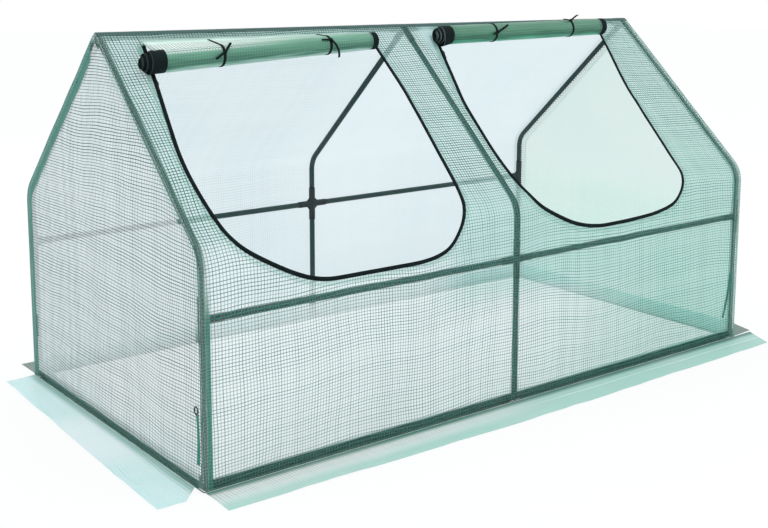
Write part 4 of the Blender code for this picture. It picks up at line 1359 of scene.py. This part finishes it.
class GREENHOUSE_OT_rolls(bpy.types.Operator):
    """The two rolled-up doors, spiral wound with their half of the zip"""

    bl_idname = "greenhouse.rolls"
    bl_label = "Rolled doors"

    def execute(self, context):
        profile = profile_of(context)
        film = context.scene.greenhouse_film
        for door in DOORS:
            body = f"rolled_door_{door.side}"
            # Share of the painted highlight along the edges of the coils' tape
            rim = 0.12 if door.side == "left" else 0.5
            black = context.scene.greenhouse_trim.tape_colour
            tape = tape_finish(f"coil_tape_{door.side}", black, 0.0016, rim)
            roll, length = self.film_roll(profile, door)
            green = roll_finish(f"film_roll_{door.side}", film, profile, door, *ROLL_LIGHT_AND_SHADE[door.side])
            dress(roll, green, body, "door_film", f"door_roll_{door.side}")
            dress(self.zip_coil(profile, door), tape, body, "zip_tape", f"door_zip_{door.side}")
        return {"FINISHED"}

    def film_roll(self, profile, door, steps=40, lanes=30, seam_steps=3, over_zip=0.030):
        """The film from its seam, over the slope and into the roll, and its length."""
        right = roll_ends(profile, door)[1]

        def lane_x(turned, share):
            left = left_edge(profile, door, turned)
            return left + (right - left) * share

        def past_end(turned, share):
            """How far the film reaches past the roll's left end, over the end of the zip."""
            return over_zip * (1 - share) ** 6 * ease(1 - turned / 0.10)

        def film_point(turned, share, way):
            x = lane_x(turned, share) - past_end(turned, share)
            swell = 0.0005 * ripple(x, turned % 1.0, 4.0, 9) * ease(abs(math.sin(40 * x)))
            return winding_point(profile, door, x, turned, way * FILM / 2 + swell)

        lines = [(share, way) for way in (1, -1) for share in shares(lanes)[::way]]
        rings = []
        for step in range(seam_steps):
            ring = []
            for share, way in lines:
                start = seam_point(profile, door, lane_x(0, share) - 0.4 * past_end(0, share), way * FILM / 2)
                ring.append(start.lerp(film_point(0, share, way), step / seam_steps))
            rings.append(ring)
        for step in range(ROLL_TURNS * steps + 1):
            rings.append([film_point(step / steps, share, way) for share, way in lines])
        lengths = running_length([ring[lanes // 2] for ring in rings])
        ends = [lane_x(0, share) - lane_x(0, 0) for share in shares(lanes)]
        widths = ends + ends[::-1] + [0.0]
        return skin(f"roll_{door.side}", rings, lengths, widths), lengths[-1]

    def zip_coil(self, profile, door, steps=36):
        """The two coils of tape at the ends of the roll, joined into one piece."""
        right = roll_ends(profile, door)[1] + FIT
        parts = []
        for end, width in (("left", door.left_coil_width), ("right", door.right_coil_width)):
            marks = (0.0, 0.06, 0.24, 0.36, 0.7, 1.0)
            bumps = (0.0, 0.00045, 0.00045, 0.0, 0.0, 0.0)
            if end == "right":
                bumps = bumps[::-1]
                marks = tuple(1 - mark for mark in reversed(marks))
            section = [(mark, ZIP_TAPE / 2 + bump) for mark, bump in zip(marks, bumps)]
            section += [(mark, -ZIP_TAPE / 2) for mark in reversed(marks)]
            rings = []
            for step in range((ROLL_TURNS + 1) * steps + 1):
                turned = step / steps
                start = right if end == "right" else left_edge(profile, door, turned) - FIT - width
                loose = self.looseness(profile, door, end, start + width, turned)
                rings.append([
                    winding_point(profile, door, start + width * mark, turned, height + loose * (1 - mark))
                    for mark, height in section])
            parts.append(skin(f"coil_{end}", rings))
        return joined(f"roll_zip_{door.side}", parts)

    def looseness(self, profile, door, end, x, turned, most=0.0065):
        """How far the outer turn hangs off the right roll's left coil, on its lower front."""
        if (door.side, end) != ("right", "left") or turned > 1:
            return 0.0
        angle = math.degrees(roll_section(profile, door, x)[3]) - 360 * turned
        from_middle = (angle + 15 + 180) % 360 - 180
        return most * ease(1 - abs(from_middle) / 60)


class GREENHOUSE_OT_ties(bpy.types.Operator):
    """The cloth ties knotted round the rolls"""

    bl_idname = "greenhouse.ties"
    bl_label = "Ties"

    width: length_setting("Width", "Width of the tie tape", 0.0075)
    thickness: length_setting("Thickness", "Thickness of the tie tape", 0.0010)
    knot: length_setting("Knot", "Radius of the knot", 0.0050)

    def execute(self, context):
        profile = profile_of(context)
        tape = tape_finish("tie_tape", context.scene.greenhouse_trim.tape_colour, 0.0009)
        for tie in TIES:
            door = next(door for door in DOORS if door.side == tie.side)
            x = roll_ends(profile, door)[0] + tie.offset
            parts = [self.band(profile, door, x), self.knot_form(profile, door, x, tie.knot_angle)]
            parts.extend(self.tail(profile, door, x, tie.knot_angle, *tail) for tail in tie.tails)
            node = f"roll_tie_{tie.name}"
            dress(joined(f"tie_{tie.name}", parts), tape, f"rolled_door_{tie.side}", "tie_tape", node)
        return {"FINISHED"}

    def band(self, profile, door, x, steps=40, slope_steps=6, turns=0.86):
        """The tape from the slope's film on to the roll and round most of it."""
        inner = FILM / 2 + FIT
        section = ((-0.5, 0), (-0.5, 0.7), (-0.38, 1), (0.38, 1), (0.5, 0.7), (0.5, 0))
        rings = []
        for step in range(-slope_steps, int(steps * turns) + 1):
            ring = []
            for across, height in section:
                reach = inner + height * self.thickness
                at = x + across * self.width
                point = winding_point(profile, door, at, max(step, 0) / steps, reach)
                if step < 0:
                    low = seam_point(profile, door, at, reach).lerp(point, 0.35)
                    point = low.lerp(point, 1 + step / slope_steps)
                ring.append(point)
            rings.append(ring)
        return skin("band", rings)

    def surface(self, profile, door, x):
        """Reach of the band's outer side from the roll's axis."""
        return roll_section(profile, door, x)[0] + FILM / 2 + FIT + self.thickness

    def knot_form(self, profile, door, x, angle):
        """A flattened knot with a wrap pulled tight round it."""
        centre = beside_roll(profile, door, x, angle, self.surface(profile, door, x) + self.knot * 0.5)
        out = (centre - beside_roll(profile, door, x, angle, 0)).normalized()
        bpy.ops.mesh.primitive_uv_sphere_add(segments=20, ring_count=12, radius=self.knot * 0.86)
        ball = bpy.context.object
        bpy.ops.mesh.primitive_torus_add(
            major_segments=28, minor_segments=10,
            major_radius=self.knot * 0.62, minor_radius=self.knot * 0.30,
            rotation=(math.radians(80), 0, math.radians(25)))
        wrap = bpy.context.object
        for item in (ball, wrap):
            item.data.transform(item.matrix_world)
            item.matrix_world = Matrix.Identity(4)
        knot = joined("knot", [ball, wrap])
        knot.data.shade_smooth()
        flatten = Matrix.Diagonal((1.05, 1, 0.78, 1))
        stand = Vector((0, 0, 1)).rotation_difference(out).to_matrix().to_4x4()
        knot.data.transform(Matrix.Translation(centre) @ stand @ flatten)
        knot.data.uv_layers[0].name = "cloth"
        return knot

    def tail(self, profile, door, x, knot_angle, run, turn, rise, steps=12):
        """A loose end from the knot: its run along the roll, its turn round it and its rise off it."""
        start = self.surface(profile, door, x) + self.knot * 0.4
        path = [(x + run * share, knot_angle + turn * share, start + rise * math.sin(share * math.pi / 2))
                for share in shares(steps)]
        rings = []
        for index, (at, angle, reach) in enumerate(path):
            here = beside_roll(profile, door, at, angle, reach)
            ahead = beside_roll(profile, door, *path[min(index + 1, steps)])
            behind = beside_roll(profile, door, *path[max(index - 1, 0)])
            out = (beside_roll(profile, door, at, angle, reach + 1) - here).normalized()
            wide = (ahead - behind).normalized().cross(out).normalized() * self.width * 0.4
            thick = out * self.thickness / 2
            rings.append([here - wide - thick * 0.6, here + wide - thick * 0.6,
                          here + wide * 0.8 + thick, here - wide * 0.8 + thick])
        return skin("tail", rings)


class GREENHOUSE_OT_sliders(bpy.types.Operator):
    """The slider on each zip"""

    bl_idname = "greenhouse.sliders"
    bl_label = "Zip sliders"

    edge_radius: length_setting("Edge", "Rounding of the sliders' edges", 0.00025)

    def execute(self, context):
        enamel = coat_finish("slider_enamel", context.scene.greenhouse_trim.slider_colour, 0.28, 900.0, 0.5)
        for door in DOORS:
            node = frame["nodes"][f"zip_slider_{door.side}"]
            piece = merged_copy(node, f"slider_{door.side}")
            edge = piece.modifiers.new("edges", "BEVEL")
            edge.width = self.edge_radius
            edge.segments = 2
            edge.limit_method = "ANGLE"
            bpy.context.view_layer.objects.active = piece
            bpy.ops.object.modifier_apply(modifier="edges")
            dress(piece, enamel, f"slider_{door.side}", "zip_slider", node.name)
        return {"FINISHED"}


# Ground flaps: which end of its wall each corner is at (-1, 0 or 1), how far past it, how far out
FLAPS = {
    "front": ((-1, -0.0036, 0), (1, 0.080, 0), (1, 0.027, 0.100), (0, 0, 0.117), (-1, -0.001, 0.102)),
    "right": ((-1, -0.0026, 0), (1, -0.0026, 0), (1, -0.004, 0.108), (-1, -0.085, 0.114),
              (-1, -0.0026, 0.084)),
    "back": ((-1, -0.0036, 0), (1, -0.0036, 0), (1, -0.002, 0.104), (0, 0, 0.117), (-1, -0.002, 0.100)),
    "left": ((-1, -0.0026, 0), (1, -0.039, 0), (1, 0.014, 0.048), (1, 0.014, 0.114), (-1, -0.017, 0.084)),
}


class GREENHOUSE_OT_flaps(bpy.types.Operator):
    """The film flaps that lie on the ground along each wall"""

    bl_idname = "greenhouse.flaps"
    bl_label = "Ground flaps"

    def execute(self, context):
        profile = profile_of(context)
        finishes = self.finishes(context.scene.greenhouse_film)
        cover = profile.lift + FILM / 2
        for side, corners in FLAPS.items():
            half = wall_half(profile, side)
            outline = [(end * (half + cover + past), out) for end, past, out in corners]

            def lay(x, out, side=side, seed=WALLS[side] / 40):
                wave = 0.5 + 0.5 * ripple(x, out, seed, 16)
                lift = FILM / 2 + 0.0055 * ease(out / 0.09) * wave * ease(0.5 + ripple(x, out, seed + 3, 5))
                return on_wall(profile, side, x, cover + FIT + FILM / 2 + out, lift)

            piece = cut_sheet(f"flap_sheet_{side}", outline, [], 0.010, lay)
            dress(piece, finishes[side], None, "flap_film", f"ground_flap_{side}")
            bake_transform(piece)
        return {"FINISHED"}

    def finishes(self, film):
        """Each flap's film. Its x is 1 at the middle of the wall and its y is 0.5 at the wall's foot."""
        aqua = tuple(film.flap_colour)
        # A darker band along the wall's foot
        doubled = where(("y", 0.530, 0.506))
        crease = where(("y", 0.0035, 0.0010, 0.549), ("x", 0.95, 1.15))
        single = where(("x", 1.15, 0.62), ("y", 0.588, 0.535))
        bleached = where(("x", 0.20, 0.06, 1.06), most=0.9)
        seam = Weave(0.94, colour(98, 152, 138), 0.5, colour(66, 118, 106))
        pale_seam = Weave(0.80, colour(156, 208, 200), 0.5, colour(96, 160, 150))
        looks = {
            "front": (Weave(0.80, aqua, 0.34, colour(132, 196, 182)),
                      ((single, Weave(0.50, colour(250, 255, 255), 0.8, colour(112, 172, 158))),
                       (doubled, seam),
                       (crease, Weave(0.85, colour(214, 240, 234), 0.2, aqua)))),
            "left": (Weave(0.40, colour(226, 255, 255), 0.75, colour(136, 226, 228)),
                     ((bleached, Weave(0.52, colour(222, 250, 255), 0.14, colour(180, 232, 240))),
                      (doubled, pale_seam))),
            "right": (Weave(0.86, colour(124, 148, 139), 0.45, colour(78, 114, 104)),
                      ((doubled, seam),)),
        }
        finishes = {side: film_finish(f"film_flap_{side}", film, *look, solid=0.7)
                    for side, look in looks.items()}
        finishes["back"] = finishes["right"]
        return finishes


class GREENHOUSE_PT_panel(bpy.types.Panel):
    """Greenhouse pieces in the sidebar"""

    bl_idname = "GREENHOUSE_PT_panel"
    bl_label = "Mini greenhouse"
    bl_space_type = "VIEW_3D"
    bl_region_type = "UI"
    bl_category = "Greenhouse"

    def draw(self, context):
        layout = self.layout
        for group in ("greenhouse_sizes", "greenhouse_film", "greenhouse_trim"):
            settings = getattr(context.scene, group)
            box = layout.box()
            for key in settings.__annotations__:
                box.prop(settings, key)
        for operator in OPERATORS:
            layout.operator(operator.bl_idname)


GROUPS = {
    "greenhouse_sizes": GreenhouseSizes,
    "greenhouse_film": GreenhouseFilm,
    "greenhouse_trim": GreenhouseTrim,
}
OPERATORS = (
    GREENHOUSE_OT_stage, GREENHOUSE_OT_frame, GREENHOUSE_OT_cover, GREENHOUSE_OT_zips, GREENHOUSE_OT_hems,
    GREENHOUSE_OT_straps, GREENHOUSE_OT_rolls, GREENHOUSE_OT_ties, GREENHOUSE_OT_sliders, GREENHOUSE_OT_flaps,
)
CLASSES = (*GROUPS.values(), *OPERATORS, GREENHOUSE_PT_panel)


def register():
    for item in CLASSES:
        bpy.utils.register_class(item)
    for name, group in GROUPS.items():
        setattr(bpy.types.Scene, name, PointerProperty(type=group))


def unregister():
    for name in GROUPS:
        delattr(bpy.types.Scene, name)
    for item in reversed(CLASSES):
        bpy.utils.unregister_class(item)


def main():
    register()
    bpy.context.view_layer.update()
    bpy.ops.object.select_all(action="DESELECT")
    bpy.ops.greenhouse.stage()
    bpy.ops.greenhouse.frame()
    bpy.ops.greenhouse.cover()
    bpy.ops.greenhouse.zips()
    bpy.ops.greenhouse.hems()
    bpy.ops.greenhouse.straps()
    bpy.ops.greenhouse.rolls()
    bpy.ops.greenhouse.ties()
    bpy.ops.greenhouse.sliders()
    bpy.ops.greenhouse.flaps()


if __name__ == "__main__":
    main()
